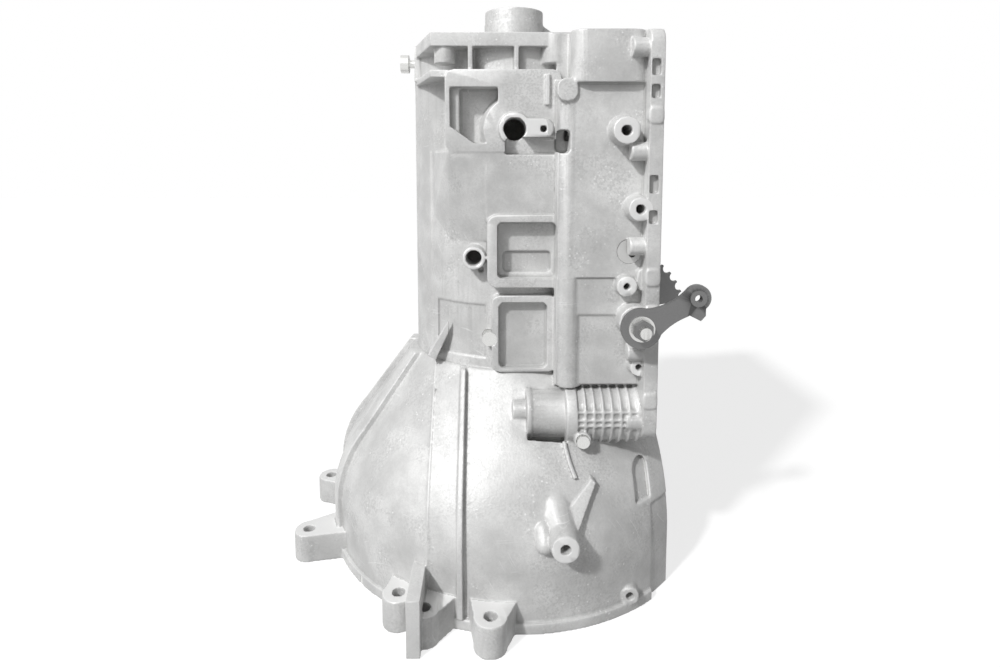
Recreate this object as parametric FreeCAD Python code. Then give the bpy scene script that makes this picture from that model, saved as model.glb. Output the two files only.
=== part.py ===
import FreeCAD, Part
import math
import os

V = FreeCAD.Vector

# Axes: X from the crown of the bell to the oil pan, Y from the lever side to the far side, Z from bell to rear.
# The origin is on the main axis in the bell face. All lengths are in millimetres, all angles in degrees.
ALONG_X = V(1, 0, 0)
ALONG_Y = V(0, 1, 0)
ALONG_Z = V(0, 0, 1)
EPS = 1.0

# Bell housing
case_height = 505.0
bell_body_r = 190.0
bell_rim_lip = 4.0
bell_rim_r = bell_body_r + bell_rim_lip
bell_rim_height = 9.0
bell_wall = 8.0
bell_straight_height = 45.0
bell_round_mid_in = 7.0
bell_round_mid_height = 88.0
bell_round_end_in = 27.0
bell_round_end_height = 120.6
shoulder_r = 107.0
shoulder_height = 196.0
bell_flat_x = 139.0
bell_corner_chamfer = 23.0
pump_face_height = 172.0
pump_register_r = 96.0
pump_register_depth = 9.0
pump_way_gap = 1.5
pump_bolt_circle_r = 102.0
pump_bolt_count = 8
pump_bolt_r = 3.4
pump_bolt_depth = 18.0
access_window_width = 110.0
access_window_height = 44.0
access_window_base = 22.0

# Barrel
barrel_r = 104.0
main_bore_r = 92.0
spline_count = 12
spline_width = 14.0
spline_depth = 4.0
spline_start = 205.0
spline_end = 330.0

# Rear end
rear_flange_thickness = 12.0
rear_wall_thickness = 34.0
rear_near_half_width = 112.0
rear_left_x = -98.0
rear_corner_x = -78.0
rear_right_x = 45.0
shelf_height = case_height - 39.0
shelf_thickness = 6.0
rear_rib_x = (-42.7, -1.7)
rear_rib_width = 4.4
rear_boss_places = ((-66.0, -1), (-66.0, 1), (27.5, 1))
near_boss_x = 33.5
near_boss_r = 12.2
rear_boss_r = 9.5
rear_boss_base = case_height - 26.5
rear_boss_inset = 11.0
stub_r = 31.0
stub_height = 41.0
stub_bore_r = 22.0
stub_web_thickness = 9.0
stub_web_reach = 67.0
pilot_r = 30.4
pilot_length = 13.0
tail_recess_r = 56.0
tail_recess_depth = 8.0
tail_bolt_circle_r = 68.0
tail_bolt_count = 6
tail_bolt_r = 4.25
tail_bolt_depth = 22.0
bushing_wall = 2.0
bushing_length = 30.0

# Valve chamber and oil pan rail
pan_face_x = 121.0
rail_thickness = 12.0
rail_half_width = 148.0
rail_bottom = 145.0
rail_top = case_height - 2.0
rail_corner_r = 12.0
chamber_half_width = 128.0
chamber_wall = 12.0
chamber_floor_x = 42.0
chamber_outside_x = 34.0
chamber_end_wall = 15.0
near_channel_floor = 203.0
servo_relief_outer_z = 191.0
servo_relief_inner_y = -90.0
servo_relief_inner_z = 175.0
deck_x = 104.0
deck_half_width = 78.0
deck_track_width = 7.0
deck_track_depth = 5.0
deck_bolt_r = 3.0
deck_bolt_depth = 10.0
deck_bolt_outer_y = 70.0
deck_bolt_inner_y = 26.5
deck_bolt_rows = (197.0, 281.0, 365.0, 449.0)
deck_runs = (
    (-63.0, 212.0, 300.0),
    (-49.0, 225.0, 360.0),
    (-35.0, 200.0, 290.0),
    (-35.0, 315.0, 430.0),
    (-18.0, 210.0, 400.0),
    (0.0, 200.0, 270.0),
    (0.0, 300.0, 450.0),
    (18.0, 230.0, 420.0),
    (35.0, 200.0, 330.0),
    (49.0, 250.0, 440.0),
    (63.0, 212.0, 380.0),
)
pan_bolt_r = 3.4
pan_bolt_depth = 18.0
pan_bolt_boss_r = 8.0
pan_bolt_boss_length = 26.0
pan_bolt_inset = 9.0
pan_bolt_from_corner = 8.0
pan_bolt_below_shaft = 27.4
pan_bolt_middle_rows = (318.0, 400.0)

# Cast lugs and hollows along the near side of the pan rail: height of each, and how tall it is
lug_heights = ((430.0, 14.0), (292.0, 15.0), (262.0, 10.0), (182.0, 14.0))
hollow_heights = ((470.0, 14.0), (450.0, 12.0), (372.0, 16.0), (344.0, 12.0))
lug_start_x = 108.0
lug_proud = 1.6
lug_root = 8.0
lug_corner_r = 4.0
hollow_depth = 5.0

# Manual shaft and lever
shaft_x = 101.9
shaft_z = 251.4
shaft_r = 6.0
shaft_fit = 0.05
shaft_thread_r = 4.9
shaft_collar_r = 8.5
shaft_collar_length = 4.0
shaft_boss_r = 15.0
shaft_boss_outer_y = -146.0
shaft_boss_inner_y = -106.0
seal_r = 11.0
seal_depth = 7.0
lever_inner_y = -160.0
lever_thickness = 5.0
lever_hub_r = 17.2
lever_length = 53.4
lever_angle = 29.2
lever_eye_r = 11.3
lever_eye_hole_r = 3.2
lever_eye_ring_r = 7.0
lever_eye_ring_height = 2.5
washer_r = 11.0
washer_thickness = 1.5
nut_width = 15.0
nut_height = 8.0
shaft_end_past_nut = 6.0
lock_pin_r = 2.0
lock_pin_before_shaft = 14.0
lock_pin_y = -123.0
lock_groove_width = 6.0
part_gap = 0.3

# Detent plate, its roller and its spring
detent_plate_y = -100.0
detent_plate_thickness = 4.0
detent_peak_r = 55.5
detent_valley_r = 51.5
detent_tooth_angle = 1.5
detent_pitch = 10.4
detent_first_notch = 66.4
detent_notch_count = 6
detent_hub_r = 15.0
detent_nut_width = 15.0
detent_nut_height = 7.0
rod_lobe_angle = 150.0
rod_lobe_outer_r = 9.5
rod_lobe_hole_r = 4.9
roller_r = 4.5
roller_width = 8.0
roller_pin_r = 1.6
spring_thickness = 1.0
spring_width = 14.0
spring_seat_z = 352.0
spring_seat_x = 112.0
spring_bolt_r = 3.0
spring_bolt_head_r = 6.0
spring_bolt_head_height = 4.0
spring_bolt_length = 16.0

# Parking lock
rod_along_pawl = 25.5
rod_r = 2.5
rod_pin_r = 2.0
rod_above_pawl = 42.0
cam_r = 7.0
cam_tip_r = 3.1
cam_below_pawl = 16.0
pawl_to_rear = 81.0
pawl_thickness = 14.0
pawl_pivot_x = 51.0
pawl_pivot_y = -102.0
pawl_pivot_r = 8.0
pawl_pin_r = 4.0
pawl_pin_fit = 0.06
pawl_pin_head_r = 6.5
pawl_arm_half_width = 4.0
pawl_arm_length = 50.0
pawl_arm_angle = 43.0
pawl_tooth_width = 10.0
pawl_tooth_tip_r = 86.0
pawl_window_margin = 9.0
guide_below_pawl = 48.0
guide_height = 86.0
guide_seat_height = 34.0
guide_depth = 18.0
guide_bolt_r = 3.0
guide_bolt_head_r = 5.5
guide_bolt_head_height = 4.0
guide_bolt_inset = 8.0
guide_bolt_reach = 13.0
guide_over_channel = 6.0
pawl_spring_wire_r = 0.7
pawl_spring_turns = 3
pawl_spring_pitch = 1.3
pawl_spring_leg = 13.0

# Ribs on the bell
rib_height = 5.5
band_half_width = 9.0
rib_x0 = -53.5
rib_x1 = -48.5
web_end_x = 64.0
web_end_z = 116.0

# Servo cylinder on the shoulder
servo_z = 160.5
servo_axis_y = -120.0
servo_smooth_r = 21.0
servo_smooth_start_x = 12.5
servo_collar_r = 26.4
servo_collar_x = 42.4
servo_collar_length = 9.7
servo_fin_r = 25.6
servo_root_r = 23.6
servo_fin_width = 1.8
servo_fin_count = 8
servo_fin_pitch = 7.9
servo_ridge_heights = (9.6, 2.5, -2.7)
servo_ridge_width = 1.4
servo_disc_x = 7.5
servo_disc_r = 22.4
servo_disc_width = 4.0
servo_trough_r = 28.5
servo_room_r = 37.0
servo_nub_r = 8.5
servo_nub_x = -5.0
servo_nub_out = 6.5
servo_nub_up = 5.5
servo_end_x = 116.0

# Bell mounting ears: angle of each hole round the main axis, and its distance beyond the bell's body
ear_height = 27.0
ear_r = 14.0
ear_hole_r = 5.5
ear_root_half = 22.0
ear_places = (
    (173.2, 22.5),
    (201.8, 31.9),
    (239.6, 14.5),
    (247.6, 20.9),
    (263.0, 17.5),
    (142.2, 18.8),
    (112.4, 20.9),
    (97.0, 17.5),
)
lug_x0 = -92.0
lug_x1 = -81.0
lug_beyond = 27.0
lug_in = 22.0
lug_height = 48.0
dowel_r = 8.0
dowel_wall = 1.5
dowel_seat = 8.0
dowel_angles = (138.9, -138.9)
dowel_inset = 4.3


def polar(radius, angle):
    a = math.radians(angle)
    return radius * math.cos(a), radius * math.sin(a)


ear_centres = [polar(bell_body_r + out, angle) for angle, out in ear_places]
dowel_places = [polar(bell_body_r - dowel_inset, angle) for angle in dowel_angles]

# The park rod runs beside the pawl's arm, a cam's radius off it, and the detent plate's lobe drives it.
pawl_along = V(*polar(1, pawl_arm_angle))
pawl_outward = V(*polar(1, pawl_arm_angle - 90))
rod_offset = pawl_arm_half_width + cam_r + part_gap
rod_line = V(pawl_pivot_x, pawl_pivot_y, 0) + pawl_along * rod_along_pawl + pawl_outward * rod_offset
pawl_base = case_height - pawl_to_rear
rod_top = pawl_base + rod_above_pawl
cam_base = pawl_base - cam_below_pawl
guide_base = pawl_base - guide_below_pawl
rod_x = rod_line.x
rod_y = rod_line.y
lever_travel = detent_pitch * (detent_notch_count - 1)
rod_lobe_r = (shaft_x - rod_x) * 2 / (1 - polar(1, rod_lobe_angle)[0])
rod_stroke = polar(rod_lobe_r, rod_lobe_angle)[1] - polar(rod_lobe_r, rod_lobe_angle + lever_travel)[1]


def slab(x0, x1, y0, y1, z0, z1):
    return Part.makeBox(x1 - x0, y1 - y0, z1 - z0, V(x0, y0, z0))


def rod(radius, start, end):
    way = end - start
    return Part.makeCylinder(radius, way.Length, start, way)


def taper(r_start, r_end, start, end):
    way = end - start
    return Part.makeCone(r_start, r_end, way.Length, start, way)


def tube(r_outer, r_inner, start, end):
    return rod(r_outer, start, end).cut(rod(r_inner, start, end))


def join(first, others):
    return first.multiFuse(others).removeSplitter()


def wire_through(place, start, steps):
    # A step of two numbers is a straight line to that point, one of four is an arc by a middle point.
    edges = []
    here = start
    for step in steps:
        end = step[-2:]
        if len(step) == 2:
            edges.append(Part.LineSegment(place(*here), place(*end)).toShape())
        else:
            edges.append(Part.Arc(place(*here), place(*step[:2]), place(*end)).toShape())
        here = end
    edges.append(Part.LineSegment(place(*here), place(*start)).toShape())
    return Part.Wire(edges)


def plate(place, start, steps, depth):
    return Part.Face(wire_through(place, start, steps)).extrude(depth)


def rounded(block, radius, direction):
    edges = [e for e in block.Edges if abs(e.tangentAt(e.FirstParameter).dot(direction)) > 0.99]
    return block.makeFillet(radius, edges)


def hexagon(width, start, end):
    way = end - start
    corner = width / math.sqrt(3)
    across = ALONG_Z
    other = way.cross(across).normalize()
    points = []
    for i in range(7):
        a = math.radians(60 * i)
        points.append(start + across * (corner * math.cos(a)) + other * (corner * math.sin(a)))
    return Part.Face(Part.makePolygon(points)).extrude(way)


# Bell


def bell_form(grow, floor):
    # The bell's round outer form, moved out by grow: used for its walls, its inside and its ribs.
    place = lambda r, z: V(r, 0, z)
    steps = [
        (bell_body_r + grow, floor),
        (bell_body_r + grow, bell_straight_height),
        (
            bell_body_r - bell_round_mid_in + grow,
            bell_round_mid_height + grow / 2,
            bell_body_r - bell_round_end_in + grow,
            bell_round_end_height + grow / 2,
        ),
        (shoulder_r + grow, shoulder_height + grow / 2),
        (0, shoulder_height + grow / 2),
    ]
    return Part.Face(wire_through(place, (0, floor), steps)).revolve(V(0, 0, 0), ALONG_Z, 360)


def bell_outside():
    rim = rod(bell_rim_r, V(0, 0, 0), V(0, 0, bell_rim_height))
    whole = join(bell_form(0, 0), [rim])
    beyond = bell_rim_r + EPS
    past_flat = slab(bell_flat_x, beyond, -beyond, beyond, -EPS, shoulder_height)
    cuts = [past_flat]
    for side in (-1, 1):
        y_at_flat = side * math.sqrt(bell_rim_r**2 - bell_flat_x**2)
        corner = plate(
            lambda x, y: V(x, y, -EPS),
            (bell_flat_x + EPS, y_at_flat),
            [
                (bell_flat_x - bell_corner_chamfer, y_at_flat + side * bell_corner_chamfer),
                (bell_flat_x + EPS, y_at_flat + 2 * side * bell_corner_chamfer),
            ],
            V(0, 0, shoulder_height),
        )
        cuts.append(corner)
    return whole.cut(cuts)


def bell_inside():
    hollow = bell_form(-bell_wall, -EPS)
    pump_end = slab(-bell_rim_r, bell_rim_r, -bell_rim_r, bell_rim_r, pump_face_height, case_height)
    beyond = slab(
        bell_flat_x - bell_wall, bell_rim_r, -bell_rim_r, bell_rim_r, -2 * EPS, shoulder_height
    )
    under_chamber = slab(
        pan_face_x - rail_thickness,
        bell_rim_r,
        -bell_rim_r,
        bell_rim_r,
        rail_bottom - bell_wall,
        case_height,
    )
    return hollow.cut([pump_end, beyond, under_chamber, servo_room()])


def ear(x, y):
    # A post with a flat top, and a neck that widens into the bell's rim.
    reach = math.hypot(x, y)
    root_r = bell_body_r - bell_wall
    post = rod(ear_r, V(x, y, 0), V(x, y, ear_height))
    neck = plate(
        lambda u, v: V(u, v, 0),
        (reach, -ear_r + EPS / 10),
        [(root_r, -ear_root_half), (root_r, ear_root_half), (reach, ear_r - EPS / 10)],
        V(0, 0, ear_height),
    )
    neck.rotate(V(0, 0, 0), ALONG_Z, math.degrees(math.atan2(y, x)))
    return [post, neck]


# Valve chamber


def chamber_outside():
    block = slab(
        chamber_outside_x,
        pan_face_x,
        -chamber_half_width,
        chamber_half_width,
        rail_bottom,
        case_height - EPS * 2,
    )
    # The near wall ends above the servo cylinder and slopes back over it.
    relief = plate(
        lambda y, z: V(chamber_outside_x - EPS, y, z),
        (-chamber_half_width - EPS, servo_relief_outer_z),
        [
            (servo_relief_inner_y, servo_relief_inner_z),
            (servo_relief_inner_y, rail_bottom - EPS),
            (-chamber_half_width - EPS, rail_bottom - EPS),
        ],
        V(pan_face_x - rail_thickness - chamber_outside_x + EPS, 0, 0),
    )
    # At the rear corner the block gives way to the flange's bolt boss.
    gap = slab(
        chamber_outside_x - EPS,
        corner_block_x,
        -chamber_half_width - EPS,
        -rear_near_half_width - EPS,
        knob_z1 - EPS,
        case_height,
    )
    return block.cut([relief, gap])


def pan_rail():
    block = slab(
        pan_face_x - rail_thickness,
        pan_face_x,
        -rail_half_width,
        rail_half_width,
        rail_bottom,
        rail_top,
    )
    return rounded(block, rail_corner_r, ALONG_X)


def pan_bolt_places():
    side = rail_half_width - pan_bolt_inset
    bottom = rail_bottom + chamber_end_wall / 2
    top = rail_top - chamber_end_wall / 2
    heights = [bottom + pan_bolt_from_corner, shaft_z - pan_bolt_below_shaft]
    heights += pan_bolt_middle_rows
    heights.append(top - pan_bolt_from_corner)
    places = []
    for y in (-side, side):
        for z in heights:
            places.append((y, z))
    for z in (bottom, top):
        for i in range(3):
            places.append(((i - 1) * side / 2, z))
    return places


def chamber_inside():
    near = chamber_half_width - chamber_wall
    hollow = slab(
        chamber_floor_x,
        pan_face_x + EPS,
        -near,
        near,
        pump_face_height + chamber_wall,
        rail_top - chamber_end_wall,
    )
    near_floor = slab(0, pan_face_x + 2 * EPS, -near - EPS, -deck_half_width, 0, near_channel_floor)
    barrel_wall = rod(barrel_r - 4, V(0, 0, 0), V(0, 0, case_height))
    deck = slab(0, deck_x, -deck_half_width, deck_half_width, 0, case_height)
    pin_boss = rod(
        pawl_pivot_r,
        V(pawl_pivot_x, pawl_pivot_y, pawl_base + pawl_thickness + 1),
        V(pawl_pivot_x, pawl_pivot_y, case_height),
    )
    guide_seat = slab(
        0, guide_seat_x(), -near, -near + guide_depth, guide_base, guide_base + guide_seat_height
    )
    shaft_boss = rod(
        shaft_boss_r,
        V(shaft_x, -chamber_half_width, shaft_z),
        V(shaft_x, shaft_boss_inner_y, shaft_z),
    )
    spring_boss = slab(
        rod_x + rod_r + 5,
        spring_seat_x,
        detent_plate_mid_y() - spring_width / 2,
        -deck_half_width + EPS,
        spring_seat_z - spring_width / 2,
        spring_seat_z + 1.5 * spring_width,
    )
    fill_x = corner_block_x + chamber_wall
    corner_fill = slab(0, fill_x, -near - EPS, -near + chamber_wall, knob_z1 - 14, case_height)
    solids = [near_floor, barrel_wall, deck, pin_boss, guide_seat, shaft_boss, spring_boss, corner_fill]
    return hollow.cut(solids)


def guide_seat_x():
    return rod_x - cam_r - 4


def detent_plate_mid_y():
    return detent_plate_y + detent_plate_thickness / 2


def deck_tracks():
    # Oil channels in the deck that the valve body seals: straight runs with round ends.
    cuts = []
    for y, z0, z1 in deck_runs:
        block = slab(
            deck_x - deck_track_depth, deck_x + EPS, y - deck_track_width / 2, y + deck_track_width / 2, z0, z1
        )
        cuts.append(rounded(block, deck_track_width / 2 - 0.1, ALONG_X))
    return cuts


def deck_bolts():
    cuts = []
    for y in (-deck_bolt_outer_y, deck_bolt_outer_y, -deck_bolt_inner_y, deck_bolt_inner_y):
        for z in deck_bolt_rows:
            cuts.append(rod(deck_bolt_r, V(deck_x - deck_bolt_depth, y, z), V(deck_x + EPS, y, z)))
    return cuts


# Near side of the case: what the lever side shows


def round_boss(x, z, face_y, face_r, base_r, base_y):
    return taper(base_r, face_r, V(x, base_y, z), V(x, face_y, z))


def hole_in(x, z, face_y, radius, depth):
    return rod(radius, V(x, face_y - EPS, z), V(x, face_y + depth, z))


boss_length = 38.0
# x, z, y of the face, radius of the face, radius at the root, radius and depth of the hole
side_bosses = (
    (90.2, 417.5, -148.0, 11.7, 15.0, 4.5, 30.0),
    (103.1, 350.8, -148.0, 10.3, 13.5, 4.1, 30.0),
    (94.4, 282.3, -140.0, 9.1, 11.0, 2.8, 18.0),
    (106.3, 209.7, -140.0, 7.9, 10.5, 2.8, 18.0),
    (35.4, 80.3, -bell_body_r - 13.0, 11.6, 15.0, 4.2, 24.0),
)
sensor_x = -3.3
sensor_z = case_height - 85.0
corner_block_x = 45.0
corner_block_y = -138.0
corner_block_z = case_height - 46.0
# x from and to, z from and to, y of the face, corner radius
pad_root_y = -60.0
wall_step_upper = 3.2
wall_step_middle = 1.4
wall_step_z = 289.0
wall_step_low_z = 255.0
side_pads = (
    (-65.0, 38.0, sensor_z - 20.0, sensor_z + 52.0, -118.0, 8.0),
    (-28.0, 41.0, 276.5, 343.0, -116.0, 9.0),
    (-24.0, 36.0, 196.0, 268.0, -110.0, 7.0),
    (104.0, 118.0, 278.0, 298.0, -137.0, 5.0),
    (44.0, 112.0, wall_step_z, corner_block_z + 3.0, -chamber_half_width - wall_step_upper, 5.0),
    (42.0, 112.0, wall_step_low_z, wall_step_z + 6, -chamber_half_width - wall_step_middle, 5.0),
)
# The same values for the pockets, with the y of the floor
side_pockets = (
    (-12.0, 34.0, sensor_z - 22.5, sensor_z - 7.0, -108.5, 5.0),
    (33.0, 44.6, sensor_z - 21.5, sensor_z - 1.0, -104.5, 4.0),
    (-19.0, 34.6, 285.0, 336.5, -103.5, 5.0),
    (-14.0, 31.0, 289.0, 309.0, -100.5, 4.0),
    (-17.4, 27.4, 199.0, 262.0, -101.5, 6.0),
)
upper_pocket_x = -60.8
upper_pocket_low_x = -39.2
upper_pocket_top = 36.5
upper_pocket_floor_y = -97.0
upper_pocket_step_y = -112.0
upper_pocket_step_x = -52.6
recess_depth = 3.8
corner_step_depth = 1.3
corner_step_x = 119.0
corner_round_r = 12.5
knob_x = 41.5
knob_width = 18.0
knob_z0 = case_height - 62.0
knob_z1 = case_height - 42.4
knob_face_y = -134.0
knob_corner_r = 8.0
panel_x0 = -77.0
panel_x1 = -29.0
panel_z0 = 206.0
panel_z1 = 257.5
panel_depth = 1.8
seam_height = 0.9
seam_width = 1.6
seam_bell_x = -80.4
seam_barrel_x = -84.5
plug_x = 97.7
plug_z = 312.2
plug_r = 10.7
plug_socket_r = 3.3
plug_depth = 9.0
plug_face_y = -chamber_half_width - wall_step_upper
servo_plug_x = 56.5
servo_plug_z = 145.5
servo_plug_r = 5.6
servo_plug_face_y = -150.0
sensor_r = 10.0
sensor_ring_r = 14.3
sensor_root_r = 31.5
sensor_root_front_r = 27.0
sensor_face_y = -122.0
sensor_tab_reach = 25.3
sensor_tab_hole_r = 3.0
sensor_tab_r = 9.0
turbine_x = -40.3
turbine_z = 303.4
turbine_r = 7.2
turbine_ring_r = 10.6
turbine_face_y = -112.0
anchor_x = -26.0
anchor_z = 227.0
anchor_r = 6.7
anchor_proud = 5.0
vent_y = -30.0
vent_z = case_height - 16.0
vent_neck_r = 4.0
vent_cap_r = 9.0


def side_pad(x0, x1, z0, z1, face_y, corner_r):
    return rounded(slab(x0, x1, face_y, pad_root_y, z0, z1), corner_r, ALONG_Y)


def side_pocket(x0, x1, z0, z1, floor_y, corner_r):
    return rounded(slab(x0, x1, -rail_half_width, floor_y, z0, z1), corner_r, ALONG_Y)


def near_pads():
    pads = [side_pad(*pad) for pad in side_pads]
    # Smooth block over the chamber, at the rear corner
    corner_block = slab(
        corner_block_x, pan_face_x - rail_thickness + EPS, corner_block_y, pad_root_y, corner_block_z, rail_top
    )
    pads.append(rounded(corner_block, rail_corner_r, ALONG_Z))
    # Bolt boss under the rear flange beside the chamber, and the thin upright rib below it
    boss_y = near_boss_r - rear_near_half_width - 2
    boss_base = V(near_boss_x, boss_y, rear_boss_base)
    pads.append(rod(near_boss_r, boss_base, V(near_boss_x, boss_y, case_height - EPS)))
    pads.append(slab(23.5, 27.5, -121, pad_root_y, shelf_height - 25, shelf_height + EPS))
    # Round knob on the corner where the barrel meets the chamber
    knob = slab(knob_x - knob_width / 2, knob_x + knob_width / 2, knob_face_y, pad_root_y, knob_z0, knob_z1)
    pads.append(rounded(knob, knob_corner_r, ALONG_Y))
    # Rounded corner where the barrel meets the chamber
    corner_y = corner_round_r - chamber_half_width - wall_step_upper - 0.2
    corner_x = chamber_outside_x - 1.3 + corner_round_r
    corner_base = V(corner_x, corner_y, servo_relief_outer_z - 3)
    pads.append(rod(corner_round_r, corner_base, V(corner_x, corner_y, corner_block_z + 3)))
    return pads


def near_pockets():
    cuts = [side_pocket(*pocket) for pocket in side_pockets]
    # The pocket beside the sensor's bore: a shallow step on its left, and the sensor's round root on its right
    top = sensor_z + upper_pocket_top
    outline = [
        (sensor_x - 14.7, top),
        (sensor_x - 14.7, sensor_z - 12.7),
        (upper_pocket_low_x, sensor_z - 12.7),
        (upper_pocket_x, sensor_z + 2.4),
    ]
    pocket = plate(lambda x, z: V(x, -rail_half_width, z), (upper_pocket_x, top), outline, V(0, 90, 0))
    low = sensor_z - upper_pocket_top
    step = slab(upper_pocket_x - 9, upper_pocket_step_x, upper_pocket_step_y, 0, low, top + EPS)
    behind = slab(upper_pocket_x - 9, 0, upper_pocket_floor_y, 0, low, top + EPS)
    root_back = V(sensor_x, upper_pocket_floor_y + EPS, sensor_z)
    root = taper(sensor_root_r, sensor_root_front_r, root_back, V(sensor_x, sensor_face_y - EPS, sensor_z))
    cuts.append(pocket.cut([step, behind, root]))
    # Shallow recesses in the bell's skin: the arched one, and the step back at its corner
    arched = plate(
        lambda x, z: V(x, -bell_rim_r, z),
        (103.8, 88),
        [(119.4, 88), (119.4, 110), (112, 118.5, 103.8, 110)],
        V(0, bell_rim_r, 0),
    )
    corner_step = slab(corner_step_x, bell_rim_r, -bell_rim_r, -90, -EPS, 84)
    for recess, depth in ((arched, recess_depth), (corner_step, corner_step_depth)):
        cuts.append(recess.cut(bell_form(-depth, -2 * EPS)))
    # The sunk panel low on the barrel, left of the lower pocket
    ring = tube(barrel_r + 2 * panel_depth, barrel_r - panel_depth, V(0, 0, panel_z0), V(0, 0, panel_z1))
    cuts.append(ring.common(slab(panel_x0, panel_x1, -rail_half_width, 0, panel_z0, panel_z1)))
    return cuts


def rear_plate():
    # The rear face: a plate with flat sides and cut corners, closed off by the pan rail.
    half = rear_near_half_width
    steps = [
        (rear_corner_x, -half),
        (rear_right_x, -half),
        (pan_face_x - rail_thickness, -half),
        (pan_face_x - rail_thickness, half),
        (rear_corner_x, half),
        (rear_left_x, half * 0.4),
    ]
    return lambda z, thick: plate(lambda x, y: V(x, y, z), (rear_left_x, -half * 0.4), steps, V(0, 0, thick))


def rear_end():
    outline = rear_plate()
    pieces = [outline(case_height - rear_flange_thickness, rear_flange_thickness)]
    pieces.append(outline(shelf_height, shelf_thickness))
    # Ribs and bosses between the two plates
    half = rear_near_half_width
    top = case_height - EPS
    for x in rear_rib_x:
        pieces.append(slab(x - rear_rib_width / 2, x + rear_rib_width / 2, -half, half, shelf_height, top))
    for x, side in rear_boss_places:
        y = side * (half - rear_boss_inset)
        pieces.append(rod(rear_boss_r, V(x, y, rear_boss_base), V(x, y, top)))
    # Solid core behind the rear face, and the seat of the vent
    pieces.append(rod(barrel_r, V(0, 0, shoulder_height - 30), V(0, 0, top)))
    pieces.append(slab(rear_left_x - 2, rear_left_x + 24, vent_y - 15, vent_y + 20, vent_z - 19, top))
    return pieces


def tail_stub():
    top = case_height + stub_height
    shoulder = top - pilot_length
    stub = rod(stub_r, V(0, 0, case_height - EPS), V(0, 0, shoulder))
    pilot = rod(pilot_r, V(0, 0, shoulder - EPS), V(0, 0, top))
    web = plate(
        lambda x, z: V(x, -stub_web_thickness / 2, z),
        (0, case_height - EPS),
        [
            (stub_web_reach, case_height - EPS),
            (stub_web_reach, case_height + 4),
            (stub_r, shoulder - EPS),
            (0, shoulder - EPS),
        ],
        V(0, stub_web_thickness, 0),
    )
    return [stub, pilot, web]


def servo_along(x):
    return V(x, servo_axis_y, servo_z)


def servo_room():
    # The metal round the servo's bore, which bulges into the bell but leaves the pump its way in
    room = rod(servo_room_r, servo_along(servo_nub_x), servo_along(servo_end_x))
    pump_way_r = pump_register_r + pump_way_gap
    return room.cut(rod(pump_way_r, V(0, 0, 0), V(0, 0, pump_face_height + EPS)))


def servo_trough():
    # The bell's skin steps back round the smooth part of the cylinder.
    trough = rod(servo_trough_r, servo_along(servo_disc_x), servo_along(servo_collar_x + EPS))
    front = slab(servo_nub_x, servo_end_x, -bell_rim_r, servo_axis_y + 5, 0, case_height)
    return trough.common(front).cut(servo_cylinder())


def servo_cylinder():
    along = servo_along
    pieces = [rod(servo_smooth_r, along(servo_smooth_start_x), along(servo_end_x))]
    nub_shift = V(0, -servo_nub_out, servo_nub_up)
    nub_end = along(servo_disc_x + EPS) + nub_shift
    pieces.append(rod(servo_nub_r, along(servo_nub_x) + nub_shift, nub_end))
    collar_end = servo_collar_x + servo_collar_length
    pieces.append(rod(servo_collar_r, along(servo_collar_x), along(collar_end)))
    pieces.append(rod(servo_root_r, along(servo_collar_x), along(servo_end_x)))
    for i in range(servo_fin_count):
        x = collar_end - servo_fin_width + i * servo_fin_pitch
        pieces.append(rod(servo_fin_r, along(x), along(x + servo_fin_width)))
    # Three thin ridges that cross the fins lengthwise
    last_x = collar_end + (servo_fin_count - 1) * servo_fin_pitch
    sleeve = rod(servo_fin_r - 0.3, along(collar_end - EPS), along(last_x))
    front_y = servo_axis_y - servo_fin_r - EPS
    for rise in servo_ridge_heights:
        low = servo_z + rise - servo_ridge_width / 2
        band = slab(collar_end - 2 * EPS, last_x + EPS, front_y, servo_axis_y, low, low + servo_ridge_width)
        pieces.append(sleeve.common(band))
    pieces.append(rod(servo_disc_r, along(servo_disc_x), along(servo_disc_x + servo_disc_width)))
    return pieces


def bell_ribs():
    grown = bell_form(rib_height, 0)
    pieces = []
    # The tall thin rib down the near side and its match on the far side
    for y0, y1 in ((-bell_rim_r - 9, 0), (0, bell_rim_r + 9)):
        pieces.append(grown.common(slab(rib_x0, rib_x1, y0, y1, bell_rim_height + EPS, shoulder_height)))
    # Broad raised bands that run down to the outer ears
    for x, y in (ear_centres[0], ear_centres[1], ear_centres[5]):
        half = band_half_width
        band = slab(0, bell_rim_r + 9, -half, half, bell_rim_height + EPS, shoulder_height)
        band.rotate(V(0, 0, 0), ALONG_Z, math.degrees(math.atan2(y, x)))
        pieces.append(grown.common(band))
    # The seam that the two halves of the die leave on bell and barrel
    seam_bell = slab(seam_bell_x, seam_bell_x + seam_width, -bell_rim_r, 0, bell_rim_height, shoulder_height)
    pieces.append(bell_form(seam_height, 0).common(seam_bell))
    seam_barrel = slab(seam_barrel_x, seam_barrel_x + seam_width, -barrel_r, 0, shoulder_height - 9, 400)
    pieces.append(rod(barrel_r + seam_height, V(0, 0, 100), V(0, 0, case_height - 20)).common(seam_barrel))
    # The short curved rib under the servo plug
    curve = plate(
        lambda x, z: V(x, -bell_rim_r, z),
        (41.0, 150.0),
        [(44.2, 134.0, 50.0, 119.0), (47.0, 118.0), (41.0, 134.0, 38.0, 150.0)],
        V(0, bell_rim_r, 0),
    )
    pieces.append(bell_form(3.0, 0).common(curve))
    return pieces


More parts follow.
